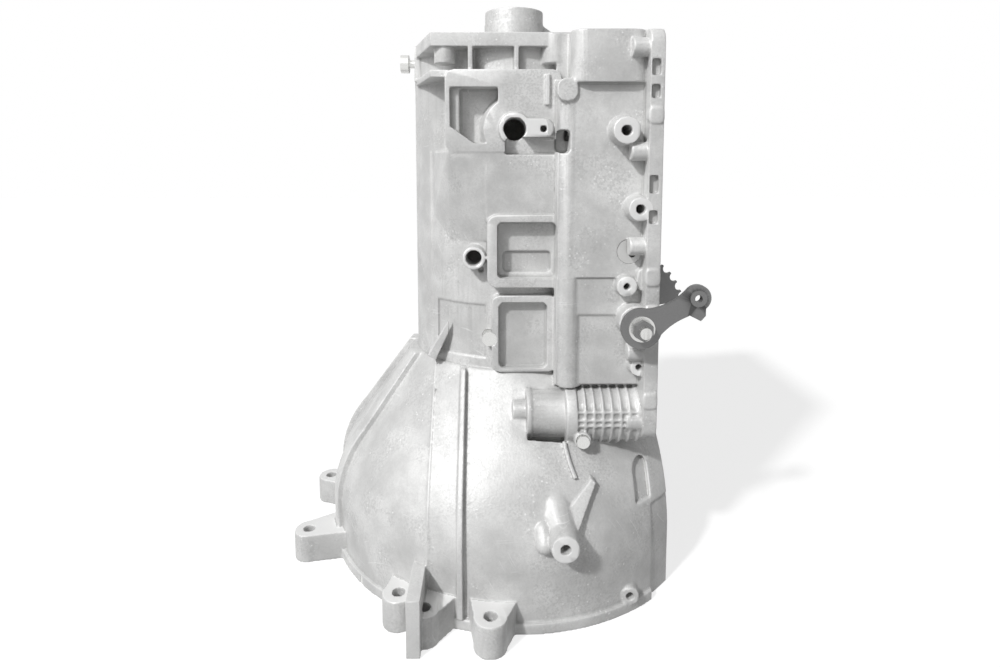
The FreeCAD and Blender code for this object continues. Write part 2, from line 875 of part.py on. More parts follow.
def bell_boss_web():
    # The web that runs up from the bell's side boss, and the two round humps beside the boss.
    x, z, face_y = side_bosses[-1][:3]
    web = plate(
        lambda u, w: V(u, face_y + 14, w),
        (x + 11, z + 2),
        [(web_end_x + 2, web_end_z - 1), (web_end_x - 2, web_end_z + 2), (x + 1, z + 15), (x - 6, z + 4)],
        V(0, 60, 0),
    )
    slope = Part.makeBox(200, 60, 200, V(-100, -60, -100))
    slope.rotate(V(0, 0, 0), ALONG_X, -38)
    slope.translate(V(x, face_y + 13, z))
    hump = Part.makeSphere(17, V(x - 6, face_y + 41, z + 14))
    lobe = Part.makeSphere(8.5, V(x - 16.5, face_y + 23, z + 3))
    lobe_root = rod(8.0, V(x - 16.5, face_y + 23, z + 3), V(x - 16.5, face_y + 50, z + 3))
    return [web.cut(slope), hump, lobe, lobe_root]


def rim_details():
    # Two small bosses by the corner of the rim, drilled along the main axis and across it.
    pieces = [rod(8.0, V(96, 40 - bell_body_r, 15), V(96, 21 - bell_body_r, 15))]
    pieces.append(rod(7.0, V(124, 54 - bell_body_r, 0), V(124, 54 - bell_body_r, 24)))
    return pieces


def rim_holes():
    across = rod(3.5, V(96, 15 - bell_body_r, 15), V(96, 35 - bell_body_r, 15))
    along = rod(2.6, V(124, 54 - bell_body_r, 8), V(124, 54 - bell_body_r, 30))
    return [across, along]


def rail_lugs():
    # Raised cast lugs along the near side of the pan rail, and the hollows between them.
    pieces = []
    for z, tall in lug_heights:
        face_y = -rail_half_width - lug_proud
        lug = slab(lug_start_x, pan_face_x, face_y, -rail_half_width + lug_root, z - tall / 2, z + tall / 2)
        pieces.append(rounded(lug, lug_corner_r, ALONG_Y))
    return pieces


def rail_hollows():
    cuts = []
    for z, tall in hollow_heights:
        floor_y = -rail_half_width + hollow_depth
        outer_y = -rail_half_width - 2 * lug_proud
        hollow = slab(lug_start_x + 2, pan_face_x - 3, outer_y, floor_y, z - tall / 2, z + tall / 2)
        cuts.append(rounded(hollow, lug_corner_r - EPS, ALONG_Y))
    return cuts


def nose_lug():
    return slab(lug_x0, lug_x1, -bell_body_r - lug_beyond, lug_in - bell_body_r, 0, lug_height)


def side_details():
    pieces = near_pads()
    for x, z, face_y, face_r, base_r, hole_r, depth in side_bosses:
        pieces.append(round_boss(x, z, face_y, face_r, base_r, face_y + boss_length))
    pieces.append(round_boss(servo_plug_x, servo_plug_z, servo_plug_face_y + 3, 7.5, 9, -110))
    pieces.append(rod(sensor_ring_r, V(sensor_x, -80, sensor_z), V(sensor_x, sensor_face_y, sensor_z)))
    tab_x = sensor_x + sensor_tab_reach
    tab = slab(sensor_x, tab_x, sensor_face_y, -90, sensor_z - sensor_tab_r, sensor_z + sensor_tab_r)
    pieces.append(tab)
    pieces.append(rod(sensor_tab_r, V(tab_x, -90, sensor_z), V(tab_x, sensor_face_y, sensor_z)))
    pieces.append(rod(turbine_ring_r, V(turbine_x, -80, turbine_z), V(turbine_x, turbine_face_y, turbine_z)))
    pieces.append(rod(shaft_boss_r, V(shaft_x, -120, shaft_z), V(shaft_x, shaft_boss_outer_y, shaft_z)))
    # Diagonal gusset on the left of the barrel
    gusset = plate(
        lambda x, z: V(x, -86, z), (-58, 243), [(-62, 246), (-86, 204), (-78, 200)], V(0, 40, 0)
    )
    pieces.append(gusset)
    return pieces


def side_holes():
    cuts = near_pockets()
    for x, z, face_y, face_r, base_r, hole_r, depth in side_bosses:
        cuts.append(hole_in(x, z, face_y, hole_r, depth))
    cuts.append(hole_in(plug_x, plug_z, plug_face_y, plug_r, plug_depth))
    cuts.append(hole_in(servo_plug_x, servo_plug_z, servo_plug_face_y, servo_plug_r, 16))
    cuts.append(hole_in(sensor_x, sensor_z, sensor_face_y, sensor_r, 60))
    cuts.append(hole_in(sensor_x + sensor_tab_reach, sensor_z, sensor_face_y, sensor_tab_hole_r, 16))
    cuts.append(hole_in(turbine_x, turbine_z, turbine_face_y, turbine_r, 60))
    cuts.append(hole_in(turbine_x + 6.3, turbine_z - 12.7, turbine_face_y, 2.8, 17))
    anchor_top = -barrel_r
    cuts.append(rod(anchor_r, V(anchor_x, anchor_top - 20, anchor_z), V(anchor_x, -80, anchor_z)))
    return cuts


# Far side of the case: the cable socket, the oil cooler ports, ribs and the starter's nose

# x, z, radius of the boss, y of its face, radius and depth of the hole
far_ports = (
    (78.0, 430.0, 19.0, 140.0, 12.0, 26.0),
    (84.0, 330.0, 12.5, 142.0, 6.5, 20.0),
    (84.0, 236.0, 12.5, 142.0, 6.5, 20.0),
    (-30.0, 352.0, 13.0, 114.0, 7.0, 12.0),
    (-52.0, 236.0, 11.0, 106.0, 4.2, 10.0),
)
far_pads = (
    (-60.0, 36.0, 392.0, 468.0, 116.0, 9.0),
    (-26.0, 38.0, 212.0, 318.0, 113.0, 9.0),
)
far_pockets = (
    (-52.0, -14.0, 400.0, 458.0, 99.0, 7.0),
    (-6.0, 28.0, 400.0, 458.0, 101.5, 7.0),
    (-18.0, 31.0, 220.0, 262.0, 102.5, 6.0),
    (-18.0, 31.0, 270.0, 310.0, 102.5, 6.0),
)
starter_x = 62.0
starter_y = bell_body_r - 32.0
starter_r = 35.0
starter_wall = 7.0
starter_height = 52.0
starter_bolts = ((14.0, bell_body_r + 6.0), (110.0, bell_body_r - 36.0))


def far_side():
    pieces = []
    for x, z, boss_r, face_y, hole_r, depth in far_ports:
        pieces.append(taper(boss_r + 3, boss_r, V(x, -pad_root_y, z), V(x, face_y, z)))
    for x0, x1, z0, z1, face_y, corner_r in far_pads:
        pieces.append(rounded(slab(x0, x1, -pad_root_y, face_y, z0, z1), corner_r, ALONG_Y))
    top = V(starter_x, starter_y, starter_height)
    inward = V(starter_x * 0.75, starter_y * 0.75, starter_height + starter_r)
    pieces.append(rod(starter_r, V(starter_x, starter_y, 0), top))
    pieces.append(taper(starter_r, starter_r / 3, top, inward))
    for x, y in starter_bolts:
        pieces.append(rod(ear_r, V(x, y, 0), V(x, y, bell_rim_height * 2)))
    return pieces


def far_side_cuts():
    cuts = []
    for x, z, boss_r, face_y, hole_r, depth in far_ports:
        cuts.append(rod(hole_r, V(x, face_y - depth, z), V(x, face_y + EPS, z)))
    for x0, x1, z0, z1, floor_y, corner_r in far_pockets:
        cuts.append(rounded(slab(x0, x1, floor_y, rail_half_width, z0, z1), corner_r, ALONG_Y))
    inner_r = starter_r - starter_wall
    inner_top = V(starter_x, starter_y, starter_height - starter_wall)
    cuts.append(rod(inner_r, V(starter_x, starter_y, -EPS), inner_top))
    for x, y in starter_bolts:
        cuts.append(rod(ear_hole_r, V(x, y, -EPS), V(x, y, bell_rim_height * 2 + EPS)))
    return cuts


def shaft_bore_cuts():
    seat = rod(
        seal_r,
        V(shaft_x, shaft_boss_outer_y - EPS, shaft_z),
        V(shaft_x, shaft_boss_outer_y + seal_depth, shaft_z),
    )
    bore = rod(
        shaft_r + shaft_fit,
        V(shaft_x, shaft_boss_outer_y - EPS, shaft_z),
        V(shaft_x, shaft_boss_inner_y + EPS, shaft_z),
    )
    return [seat, bore, lock_pin_hole()]


def lock_pin_solid():
    z = shaft_z + shaft_r - 1 + lock_pin_r
    return rod(
        lock_pin_r, V(shaft_x - lock_pin_before_shaft, lock_pin_y, z), V(pan_face_x - 1, lock_pin_y, z)
    )


def lock_pin_hole():
    z = shaft_z + shaft_r - 1 + lock_pin_r
    return rod(
        lock_pin_r, V(shaft_x - lock_pin_before_shaft, lock_pin_y, z), V(pan_face_x + EPS, lock_pin_y, z)
    )


def make_case():
    outside = [rod(barrel_r, V(0, 0, bell_rim_height), V(0, 0, case_height - EPS))]
    outside += [chamber_outside(), pan_rail()]
    for y, z in pan_bolt_places():
        face = V(pan_face_x, y, z)
        outside.append(rod(pan_bolt_boss_r, face - ALONG_X * pan_bolt_boss_length, face))
    outside += rear_end() + tail_stub() + servo_cylinder() + bell_ribs() + side_details()
    outside.append(nose_lug())
    outside += bell_boss_web() + rim_details() + rail_lugs() + far_side()
    for x, y in ear_centres:
        outside += ear(x, y)
    body = bell_outside().multiFuse(outside)

    rear_wall_start = case_height - rear_wall_thickness
    cuts = [bell_inside(), chamber_inside()]
    cuts.append(rod(main_bore_r, V(0, 0, pump_face_height - EPS), V(0, 0, rear_wall_start)))
    register_start = V(0, 0, pump_face_height - EPS)
    cuts.append(rod(pump_register_r, register_start, V(0, 0, pump_face_height + pump_register_depth)))
    cuts.append(rod(stub_bore_r, V(0, 0, rear_wall_start - EPS), V(0, 0, case_height + stub_height + EPS)))
    recess_start = V(0, 0, case_height - tail_recess_depth)
    recess = rod(tail_recess_r, recess_start, V(0, 0, case_height + EPS))
    keep = tail_stub() + [rod(stub_r, recess_start, V(0, 0, case_height + EPS))]
    cuts.append(recess.cut(keep))
    for i in range(spline_count):
        slot = slab(
            main_bore_r - 6,
            main_bore_r + spline_depth,
            -spline_width / 2,
            spline_width / 2,
            spline_start,
            spline_end,
        )
        slot.rotate(V(0, 0, 0), ALONG_Z, 360 / spline_count * (i + 0.5))
        cuts.append(slot)
    for i in range(pump_bolt_count):
        x, y = polar(pump_bolt_circle_r, 360 / pump_bolt_count * (i + 0.5))
        start = V(x, y, pump_face_height - EPS)
        cuts.append(rod(pump_bolt_r, start, V(x, y, pump_face_height + pump_bolt_depth)))
    for i in range(tail_bolt_count):
        x, y = polar(tail_bolt_circle_r, 360 / tail_bolt_count * (i + 0.5))
        cuts.append(rod(tail_bolt_r, V(x, y, case_height - tail_bolt_depth), V(x, y, case_height + EPS)))
    for y, z in pan_bolt_places():
        cuts.append(rod(pan_bolt_r, V(pan_face_x - pan_bolt_depth, y, z), V(pan_face_x + EPS, y, z)))
    for x, y in ear_centres:
        cuts.append(rod(ear_hole_r, V(x, y, -EPS), V(x, y, ear_height + EPS)))
    for x, y in dowel_places:
        cuts.append(rod(dowel_r, V(x, y, -EPS), V(x, y, dowel_seat)))
    cuts.append(
        slab(
            bell_flat_x - bell_wall - EPS,
            bell_flat_x + EPS,
            -access_window_width / 2,
            access_window_width / 2,
            access_window_base,
            access_window_base + access_window_height,
        )
    )
    cuts += side_holes() + shaft_bore_cuts() + deck_tracks() + deck_bolts()
    cuts += rim_holes() + rail_hollows() + far_side_cuts()
    cuts.append(servo_trough())
    cuts.append(pawl_window())
    cuts.append(
        rod(
            pawl_pin_r,
            V(pawl_pivot_x, pawl_pivot_y, pawl_base),
            V(pawl_pivot_x, pawl_pivot_y, case_height - 8),
        )
    )
    for z in guide_bolt_heights():
        start = V(guide_seat_x() - guide_bolt_reach - EPS, guide_bolt_y(), z)
        cuts.append(rod(guide_bolt_r, start, V(guide_seat_x() + EPS, guide_bolt_y(), z)))
    cuts.append(
        rod(
            spring_bolt_r,
            V(spring_seat_x - spring_bolt_length, detent_plate_mid_y(), spring_bolt_z()),
            V(spring_seat_x + EPS, detent_plate_mid_y(), spring_bolt_z()),
        )
    )
    cuts.append(rod(vent_neck_r, V(rear_left_x - 10, vent_y, vent_z), V(rear_left_x + 12, vent_y, vent_z)))
    return body.cut(cuts).removeSplitter()


# Manual shaft, lever and what holds them


def make_manual_shaft():
    lever_outer = lever_inner_y - lever_thickness
    nut_outer = lever_outer - washer_thickness - nut_height
    inner_end = detent_plate_y + detent_plate_thickness + detent_nut_height + 2
    collar_start = detent_plate_y - shaft_collar_length
    pieces = [rod(shaft_r, V(shaft_x, lever_inner_y, shaft_z), V(shaft_x, detent_plate_y, shaft_z))]
    pieces.append(rod(shaft_collar_r, V(shaft_x, collar_start, shaft_z), V(shaft_x, detent_plate_y, shaft_z)))
    pieces.append(
        rod(
            shaft_thread_r,
            V(shaft_x, nut_outer - shaft_end_past_nut, shaft_z),
            V(shaft_x, inner_end, shaft_z),
        )
    )
    whole = join(pieces[0], pieces[1:])
    groove = tube(
        shaft_r + EPS,
        shaft_r - 1 - part_gap,
        V(shaft_x, lock_pin_y - lock_groove_width / 2, shaft_z),
        V(shaft_x, lock_pin_y + lock_groove_width / 2, shaft_z),
    )
    return whole.cut(groove)


def make_manual_lever():
    outer = lever_inner_y - lever_thickness
    depth = V(0, lever_thickness, 0)
    eye_x, eye_z = polar(lever_length, lever_angle)
    eye_x += shaft_x
    eye_z += shaft_z
    hub = rod(lever_hub_r, V(shaft_x, outer, shaft_z), V(shaft_x, outer, shaft_z) + depth)
    eye = rod(lever_eye_r, V(eye_x, outer, eye_z), V(eye_x, outer, eye_z) + depth)
    place = lambda x, z: V(x, outer, z)
    arm = plate(
        place,
        (shaft_x + 5, shaft_z + 16.4),
        [
            (shaft_x + 27, shaft_z + 24, eye_x - 8, eye_z + 8),
            (eye_x, eye_z - lever_eye_r),
            (eye_x - 9, eye_z - 16),
            (shaft_x + 28, shaft_z + 5, shaft_x + 14, shaft_z - 8),
            (shaft_x, shaft_z),
        ],
        depth,
    )
    beak = plate(
        place,
        (eye_x - 10, eye_z - 8),
        [(eye_x - 6, eye_z - 15), (eye_x + 3, eye_z - 19.5), (eye_x + 7, eye_z - 15), (eye_x + 7, eye_z - 8)],
        depth,
    )
    ring = rod(
        lever_eye_ring_r,
        V(eye_x, outer - lever_eye_ring_height, eye_z),
        V(eye_x, outer, eye_z),
    )
    whole = join(hub, [eye, arm, beak, ring])
    eye_hole = rod(lever_eye_hole_r, V(eye_x, outer - 9, eye_z), V(eye_x, outer + 9, eye_z))
    shaft_hole = rod(shaft_thread_r, V(shaft_x, outer - 9, shaft_z), V(shaft_x, outer + 9, shaft_z))
    return whole.cut([eye_hole, shaft_hole])


def make_lever_washer():
    inner = lever_inner_y - lever_thickness
    return tube(
        washer_r, shaft_thread_r, V(shaft_x, inner - washer_thickness, shaft_z), V(shaft_x, inner, shaft_z)
    )


def make_lever_nut():
    inner = lever_inner_y - lever_thickness - washer_thickness
    start = V(shaft_x, inner - nut_height, shaft_z)
    end = V(shaft_x, inner, shaft_z)
    return hexagon(nut_width, start, end).cut(rod(shaft_thread_r, start, end))


def make_detent_nut():
    start = V(shaft_x, detent_plate_y + detent_plate_thickness, shaft_z)
    end = start + ALONG_Y * detent_nut_height
    return hexagon(detent_nut_width, start, end).cut(rod(shaft_thread_r, start, end))


def make_shaft_seal():
    start = V(shaft_x, shaft_boss_outer_y, shaft_z)
    return tube(seal_r, shaft_r + shaft_fit, start, start + ALONG_Y * seal_depth)


def make_detent_plate():
    depth = V(0, detent_plate_thickness, 0)
    place = lambda x, z: V(shaft_x + x, detent_plate_y, shaft_z + z)
    steps = []
    for i in range(detent_notch_count):
        notch = detent_first_notch - i * detent_pitch
        half_notch = (detent_pitch - detent_tooth_angle) / 2
        before = polar(detent_peak_r, notch + half_notch)
        valley = polar(detent_valley_r, notch)
        after = polar(detent_peak_r, notch - half_notch)
        steps += [before, valley + after]
    fan = plate(place, (0, 0), steps, depth)
    hub = rod(detent_hub_r, V(shaft_x, detent_plate_y, shaft_z), V(shaft_x, detent_plate_y, shaft_z) + depth)
    lobe_x, lobe_z = polar(rod_lobe_r, rod_lobe_angle)
    lobe_centre = V(shaft_x + lobe_x, detent_plate_y, shaft_z + lobe_z)
    lobe = rod(rod_lobe_outer_r, lobe_centre, lobe_centre + depth)
    side_x, side_z = polar(rod_lobe_outer_r, rod_lobe_angle + 90)
    arm = plate(
        place,
        (side_x, side_z),
        [(side_x + lobe_x, side_z + lobe_z), (lobe_x - side_x, lobe_z - side_z), (-side_x, -side_z)],
        depth,
    )
    whole = join(fan, [hub, lobe, arm])
    shaft_hole = rod(shaft_thread_r, V(shaft_x, detent_plate_y - 9, shaft_z), V(shaft_x, -80, shaft_z))
    rod_hole = rod(rod_lobe_hole_r, lobe_centre - ALONG_Y * 9, lobe_centre + ALONG_Y * 9)
    return whole.cut([shaft_hole, rod_hole])


def roller_centre():
    x, z = polar(detent_peak_r + roller_r + part_gap, detent_first_notch)
    return shaft_x + x, shaft_z + z


def spring_bolt_z():
    return spring_seat_z + spring_width / 2


def make_detent_spring():
    x, z = roller_centre()
    half = spring_width / 2
    y0 = detent_plate_mid_y() - half
    place = lambda u, w: V(u, y0, w)
    top_z = spring_seat_z + 1.5 * spring_width
    back_x = x + roller_pin_r
    leaf = plate(
        place,
        (spring_seat_x, top_z),
        [
            (spring_seat_x + spring_thickness, top_z),
            (spring_seat_x + spring_thickness, spring_seat_z - half),
            (back_x + spring_thickness, z + roller_r + 4),
            (back_x + spring_thickness, z),
            (back_x, z),
            (back_x, z + roller_r + 4),
            (spring_seat_x, spring_seat_z - half),
        ],
        V(0, spring_width, 0),
    )
    slot_half = roller_width / 2 + 0.5
    mid = detent_plate_mid_y()
    fork_gap = slab(x - 20, x + 20, mid - slot_half, mid + slot_half, z - 20, z + roller_r + 2)
    cheeks = []
    for side in (-1, 1):
        start = V(x, mid + side * slot_half, z)
        cheeks.append(rod(3.2, start, V(x, mid + side * half, z)))
    pin = rod(roller_pin_r, V(x, y0, z), V(x, y0 + spring_width, z))
    whole = join(leaf.cut(fork_gap), cheeks + [pin])
    hole_start = V(spring_seat_x - 9, mid, spring_bolt_z())
    bolt_hole = rod(spring_bolt_r, hole_start, hole_start + ALONG_X * 18)
    return whole.cut(bolt_hole)


def make_detent_roller():
    x, z = roller_centre()
    mid = detent_plate_mid_y()
    start = V(x, mid - roller_width / 2, z)
    return tube(roller_r, roller_pin_r + shaft_fit, start, start + ALONG_Y * roller_width)


def make_detent_spring_bolt():
    seat = spring_seat_x + spring_thickness
    mid = detent_plate_mid_y()
    z = spring_bolt_z()
    head = hexagon_x(2 * spring_bolt_head_r * 0.87, V(seat, mid, z), spring_bolt_head_height)
    shank = rod(spring_bolt_r, V(spring_seat_x - spring_bolt_length + 1, mid, z), V(seat, mid, z))
    return join(head, [shank])


def hexagon_x(width, start, length):
    return hexagon(width, start, start + ALONG_X * length)


# Parking lock


def rod_pin_height():
    return shaft_z + polar(rod_lobe_r, rod_lobe_angle)[1]


def make_park_rod():
    z = rod_pin_height()
    bend = Part.makeSphere(rod_r, V(rod_x, rod_y, z))
    shank = rod(rod_r, V(rod_x, rod_y, z), V(rod_x, rod_y, rod_top))
    pin_end = detent_plate_y - 2
    pin = rod(rod_pin_r, V(rod_x, pin_end, z), V(rod_x, rod_y, z))
    return join(shank, [bend, pin])


def make_park_cam():
    base = V(rod_x, rod_y, cam_base)
    knee = V(rod_x, rod_y, pawl_base)
    tip = knee + ALONG_Z * rod_stroke
    solid = join(rod(cam_r, base, knee), [taper(cam_r, cam_tip_r, knee, tip)])
    return solid.cut(rod(rod_r, base - ALONG_Z, tip + ALONG_Z))


def pawl_tooth_angle():
    end_x = pawl_pivot_x + pawl_arm_length * math.cos(math.radians(pawl_arm_angle))
    end_y = pawl_pivot_y + pawl_arm_length * math.sin(math.radians(pawl_arm_angle))
    return end_x, end_y


def pawl_blank(grow, z0, z1):
    # The pawl's outline, grown all round by grow, between two heights
    end_x, end_y = pawl_tooth_angle()
    rise = V(0, 0, z1 - z0)
    pivot = rod(pawl_pivot_r + grow, V(pawl_pivot_x, pawl_pivot_y, z0), V(pawl_pivot_x, pawl_pivot_y, z1))
    half = pawl_arm_half_width + grow
    arm = slab(0, pawl_arm_length, -half, half, 0, z1 - z0)
    arm.rotate(V(0, 0, 0), ALONG_Z, pawl_arm_angle)
    arm.translate(V(pawl_pivot_x, pawl_pivot_y, z0))
    reach = math.hypot(end_x, end_y)
    width = pawl_tooth_width / 2 + grow
    tooth = slab(pawl_tooth_tip_r - grow, reach + 3 + grow, -width, width, 0, z1 - z0)
    tooth.rotate(V(0, 0, 0), ALONG_Z, math.degrees(math.atan2(end_y, end_x)))
    tooth.translate(V(0, 0, z0))
    return pivot, arm, tooth


def make_park_pawl():
    pivot, arm, tooth = pawl_blank(0, pawl_base, pawl_base + pawl_thickness)
    hole = rod(
        pawl_pin_r + pawl_pin_fit,
        V(pawl_pivot_x, pawl_pivot_y, pawl_base - EPS),
        V(pawl_pivot_x, pawl_pivot_y, pawl_base + pawl_thickness + EPS),
    )
    return join(pivot, [arm, tooth]).cut(hole)


def pawl_window():
    blank = pawl_blank(pawl_window_margin, pawl_base - 3, pawl_base + pawl_thickness + 3)
    return join(blank[1], [blank[2]])


def make_pawl_pin():
    top = case_height - 8
    shank = rod(
        pawl_pin_r, V(pawl_pivot_x, pawl_pivot_y, pawl_base - 10), V(pawl_pivot_x, pawl_pivot_y, top)
    )
    head = rod(
        pawl_pin_head_r,
        V(pawl_pivot_x, pawl_pivot_y, pawl_base - 10),
        V(pawl_pivot_x, pawl_pivot_y, pawl_base - 7),
    )
    return join(shank, [head])


def make_pawl_spring():
    # A close-wound torsion spring: its coils round the pin, one leg along the case, the other under the pawl
    coil_r = pawl_pin_r + pawl_spring_wire_r + part_gap
    half_pitch = pawl_spring_pitch / 2
    waist = math.sqrt(pawl_spring_wire_r**2 - half_pitch**2)
    first_z = pawl_base - 6
    outer, inner = [], []
    for i in range(pawl_spring_turns):
        z = first_z + i * pawl_spring_pitch
        outer.append((coil_r + pawl_spring_wire_r, z, coil_r + waist, z + half_pitch))
        inner.append((coil_r - pawl_spring_wire_r, z, coil_r - waist, z - half_pitch))
    last_z = first_z + (pawl_spring_turns - 1) * pawl_spring_pitch
    over = [(coil_r - waist, last_z + half_pitch)]
    section = wire_through(
        lambda r, z: V(pawl_pivot_x + r, pawl_pivot_y, z),
        (coil_r + waist, first_z - half_pitch),
        outer + over + inner[::-1],
    )
    axis = V(pawl_pivot_x, pawl_pivot_y, 0)
    coils = Part.Face(section).revolve(axis, ALONG_Z, 360)
    leg_r = pawl_spring_wire_r * 0.8
    case_leg = axis + V(0, -coil_r, first_z)
    pawl_leg = axis + V(0, 0, last_z) + pawl_outward * coil_r
    legs = [rod(leg_r, case_leg, case_leg + ALONG_X * pawl_spring_leg)]
    legs.append(rod(leg_r, pawl_leg, pawl_leg + pawl_along * pawl_spring_leg))
    return join(coils, legs)


def guide_bolt_heights():
    return guide_base + guide_bolt_inset, guide_base + guide_seat_height - guide_bolt_inset


def guide_bolt_y():
    return -chamber_half_width + chamber_wall + guide_depth / 2


def make_park_guide():
    near = -chamber_half_width + chamber_wall
    block = slab(
        guide_seat_x(),
        rod_x + cam_r + guide_over_channel,
        near + part_gap,
        near + guide_depth,
        guide_base,
        guide_base + guide_height,
    )
    top = guide_base + guide_height
    channel = rod(cam_r + part_gap, V(rod_x, rod_y, guide_base - EPS), V(rod_x, rod_y, top + EPS))
    holes = []
    for z in guide_bolt_heights():
        holes.append(rod(guide_bolt_r, V(0, guide_bolt_y(), z), V(200, guide_bolt_y(), z)))
    return block.cut([channel] + holes)


def make_guide_bolts():
    seat = rod_x + cam_r + guide_over_channel
    bolts = []
    for z in guide_bolt_heights():
        start = V(guide_seat_x() - guide_bolt_reach, guide_bolt_y(), z)
        shank = rod(guide_bolt_r, start, V(seat, guide_bolt_y(), z))
        head = hexagon_x(2 * guide_bolt_head_r * 0.87, V(seat, guide_bolt_y(), z), guide_bolt_head_height)
        bolts.append(join(head, [shank]))
    return Part.makeCompound(bolts)


# Plugs, sleeves, vent and bushing


def make_flush_plug():
    face = plug_face_y
    body = rod(plug_r, V(plug_x, face, plug_z), V(plug_x, face + plug_depth, plug_z))
    socket_x = plug_x + 2.5
    socket_z = plug_z - 2
    socket = rod(plug_socket_r, V(socket_x, face - EPS, socket_z), V(socket_x, face + 5, socket_z))
    return body.cut(socket)


def make_servo_plug():
    face = servo_plug_face_y
    start = V(servo_plug_x, face, servo_plug_z)
    return rod(servo_plug_r, start, start + ALONG_Y * 15)


def make_band_anchor_pin():
    face = -barrel_r - anchor_proud
    return rod(anchor_r, V(anchor_x, face, anchor_z), V(anchor_x, -80, anchor_z))


def make_vent_neck():
    return rod(vent_neck_r, V(rear_left_x - 9, vent_y, vent_z), V(rear_left_x + 12, vent_y, vent_z))


def make_vent_cap():
    return rod(vent_cap_r, V(rear_left_x - 17, vent_y, vent_z), V(rear_left_x - 9, vent_y, vent_z))


def make_rear_bushing():
    top = case_height + stub_height - 3
    start = V(0, 0, top - bushing_length)
    return tube(stub_bore_r, stub_bore_r - bushing_wall, start, V(0, 0, top))


def make_dowel_sleeves():
    sleeves = []
    for x, y in dowel_places:
        start = V(x, y, 0)
        sleeves.append(tube(dowel_r, dowel_r - dowel_wall, start, start + ALONG_Z * dowel_seat))
    return Part.makeCompound(sleeves)


makers = {
    "gearbox_case": make_case,
    "manual_shaft": make_manual_shaft,
    "manual_lever": make_manual_lever,
    "lever_washer": make_lever_washer,
    "lever_nut": make_lever_nut,
    "shaft_seal": make_shaft_seal,
    "shaft_lock_pin": lock_pin_solid,
    "detent_plate": make_detent_plate,
    "detent_nut": make_detent_nut,
    "detent_spring": make_detent_spring,
    "detent_roller": make_detent_roller,
    "detent_spring_bolt": make_detent_spring_bolt,
    "park_rod": make_park_rod,
    "park_cam": make_park_cam,
    "park_pawl": make_park_pawl,
    "pawl_pin": make_pawl_pin,
    "pawl_spring": make_pawl_spring,
    "park_guide": make_park_guide,
    "guide_bolts": make_guide_bolts,
    "flush_plug": make_flush_plug,
    "servo_plug": make_servo_plug,
    "band_anchor_pin": make_band_anchor_pin,
    "vent_neck": make_vent_neck,
    "vent_cap": make_vent_cap,
    "rear_bushing": make_rear_bushing,
    "dowel_sleeves": make_dowel_sleeves,
}

os.makedirs("parts", exist_ok=True)
for name, make in makers.items():
    shape = make()
    print(name, "valid", shape.isValid(), "solids", len(shape.Solids), "volume", round(shape.Volume))
    shape.exportStep("parts/" + name + ".step")
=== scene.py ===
import math

import bmesh
import bpy
from bpy.props import FloatProperty, FloatVectorProperty, IntProperty, PointerProperty
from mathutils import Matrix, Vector


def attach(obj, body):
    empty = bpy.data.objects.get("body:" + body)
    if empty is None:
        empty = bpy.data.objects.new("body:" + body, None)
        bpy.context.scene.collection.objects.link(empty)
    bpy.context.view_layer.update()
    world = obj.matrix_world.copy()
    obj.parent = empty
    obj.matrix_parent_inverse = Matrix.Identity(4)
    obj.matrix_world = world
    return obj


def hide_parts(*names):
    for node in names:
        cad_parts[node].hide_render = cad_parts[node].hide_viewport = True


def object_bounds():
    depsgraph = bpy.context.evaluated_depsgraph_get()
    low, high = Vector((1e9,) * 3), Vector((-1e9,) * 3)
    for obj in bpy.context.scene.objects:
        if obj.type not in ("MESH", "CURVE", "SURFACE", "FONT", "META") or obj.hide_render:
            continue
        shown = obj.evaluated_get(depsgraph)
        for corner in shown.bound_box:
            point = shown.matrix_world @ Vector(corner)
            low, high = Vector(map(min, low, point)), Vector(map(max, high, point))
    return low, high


bl_info = {
    "name": "Gearbox Housing Finish",
    "version": (1, 0, 0),
    "blender": (4, 5, 0),
    "location": "3D View > Sidebar > Housing",
    "description": "Softens the casting of a gearbox housing and gives each piece its finish",
    "category": "Object",
}

MM = 0.001

# Faced planes, as axis and place, and faced bosses, as centre and radius, all in millimetres
FACED_PLANES = (("X", 121.0), ("Z", 505.0), ("Z", 0.0), ("Z", 27.0))
FACED_BOSSES = (
    (90.2, -148.0, 417.5, 11.5),
    (103.1, -148.0, 350.8, 10.2),
    (94.4, -140.0, 282.3, 9.0),
    (106.3, -140.0, 209.7, 7.8),
    (35.4, -203.0, 80.3, 11.4),
    (-3.3, -122.0, 420.0, 14.2),
    (10.0, -122.0, 420.0, 16.0),
    (-40.3, -112.0, 303.4, 10.6),
    (101.9, -146.0, 251.4, 15.0),
)
# How much of a face's normal lies along an axis before the face counts as square to it
SQUARE_ON = 0.95

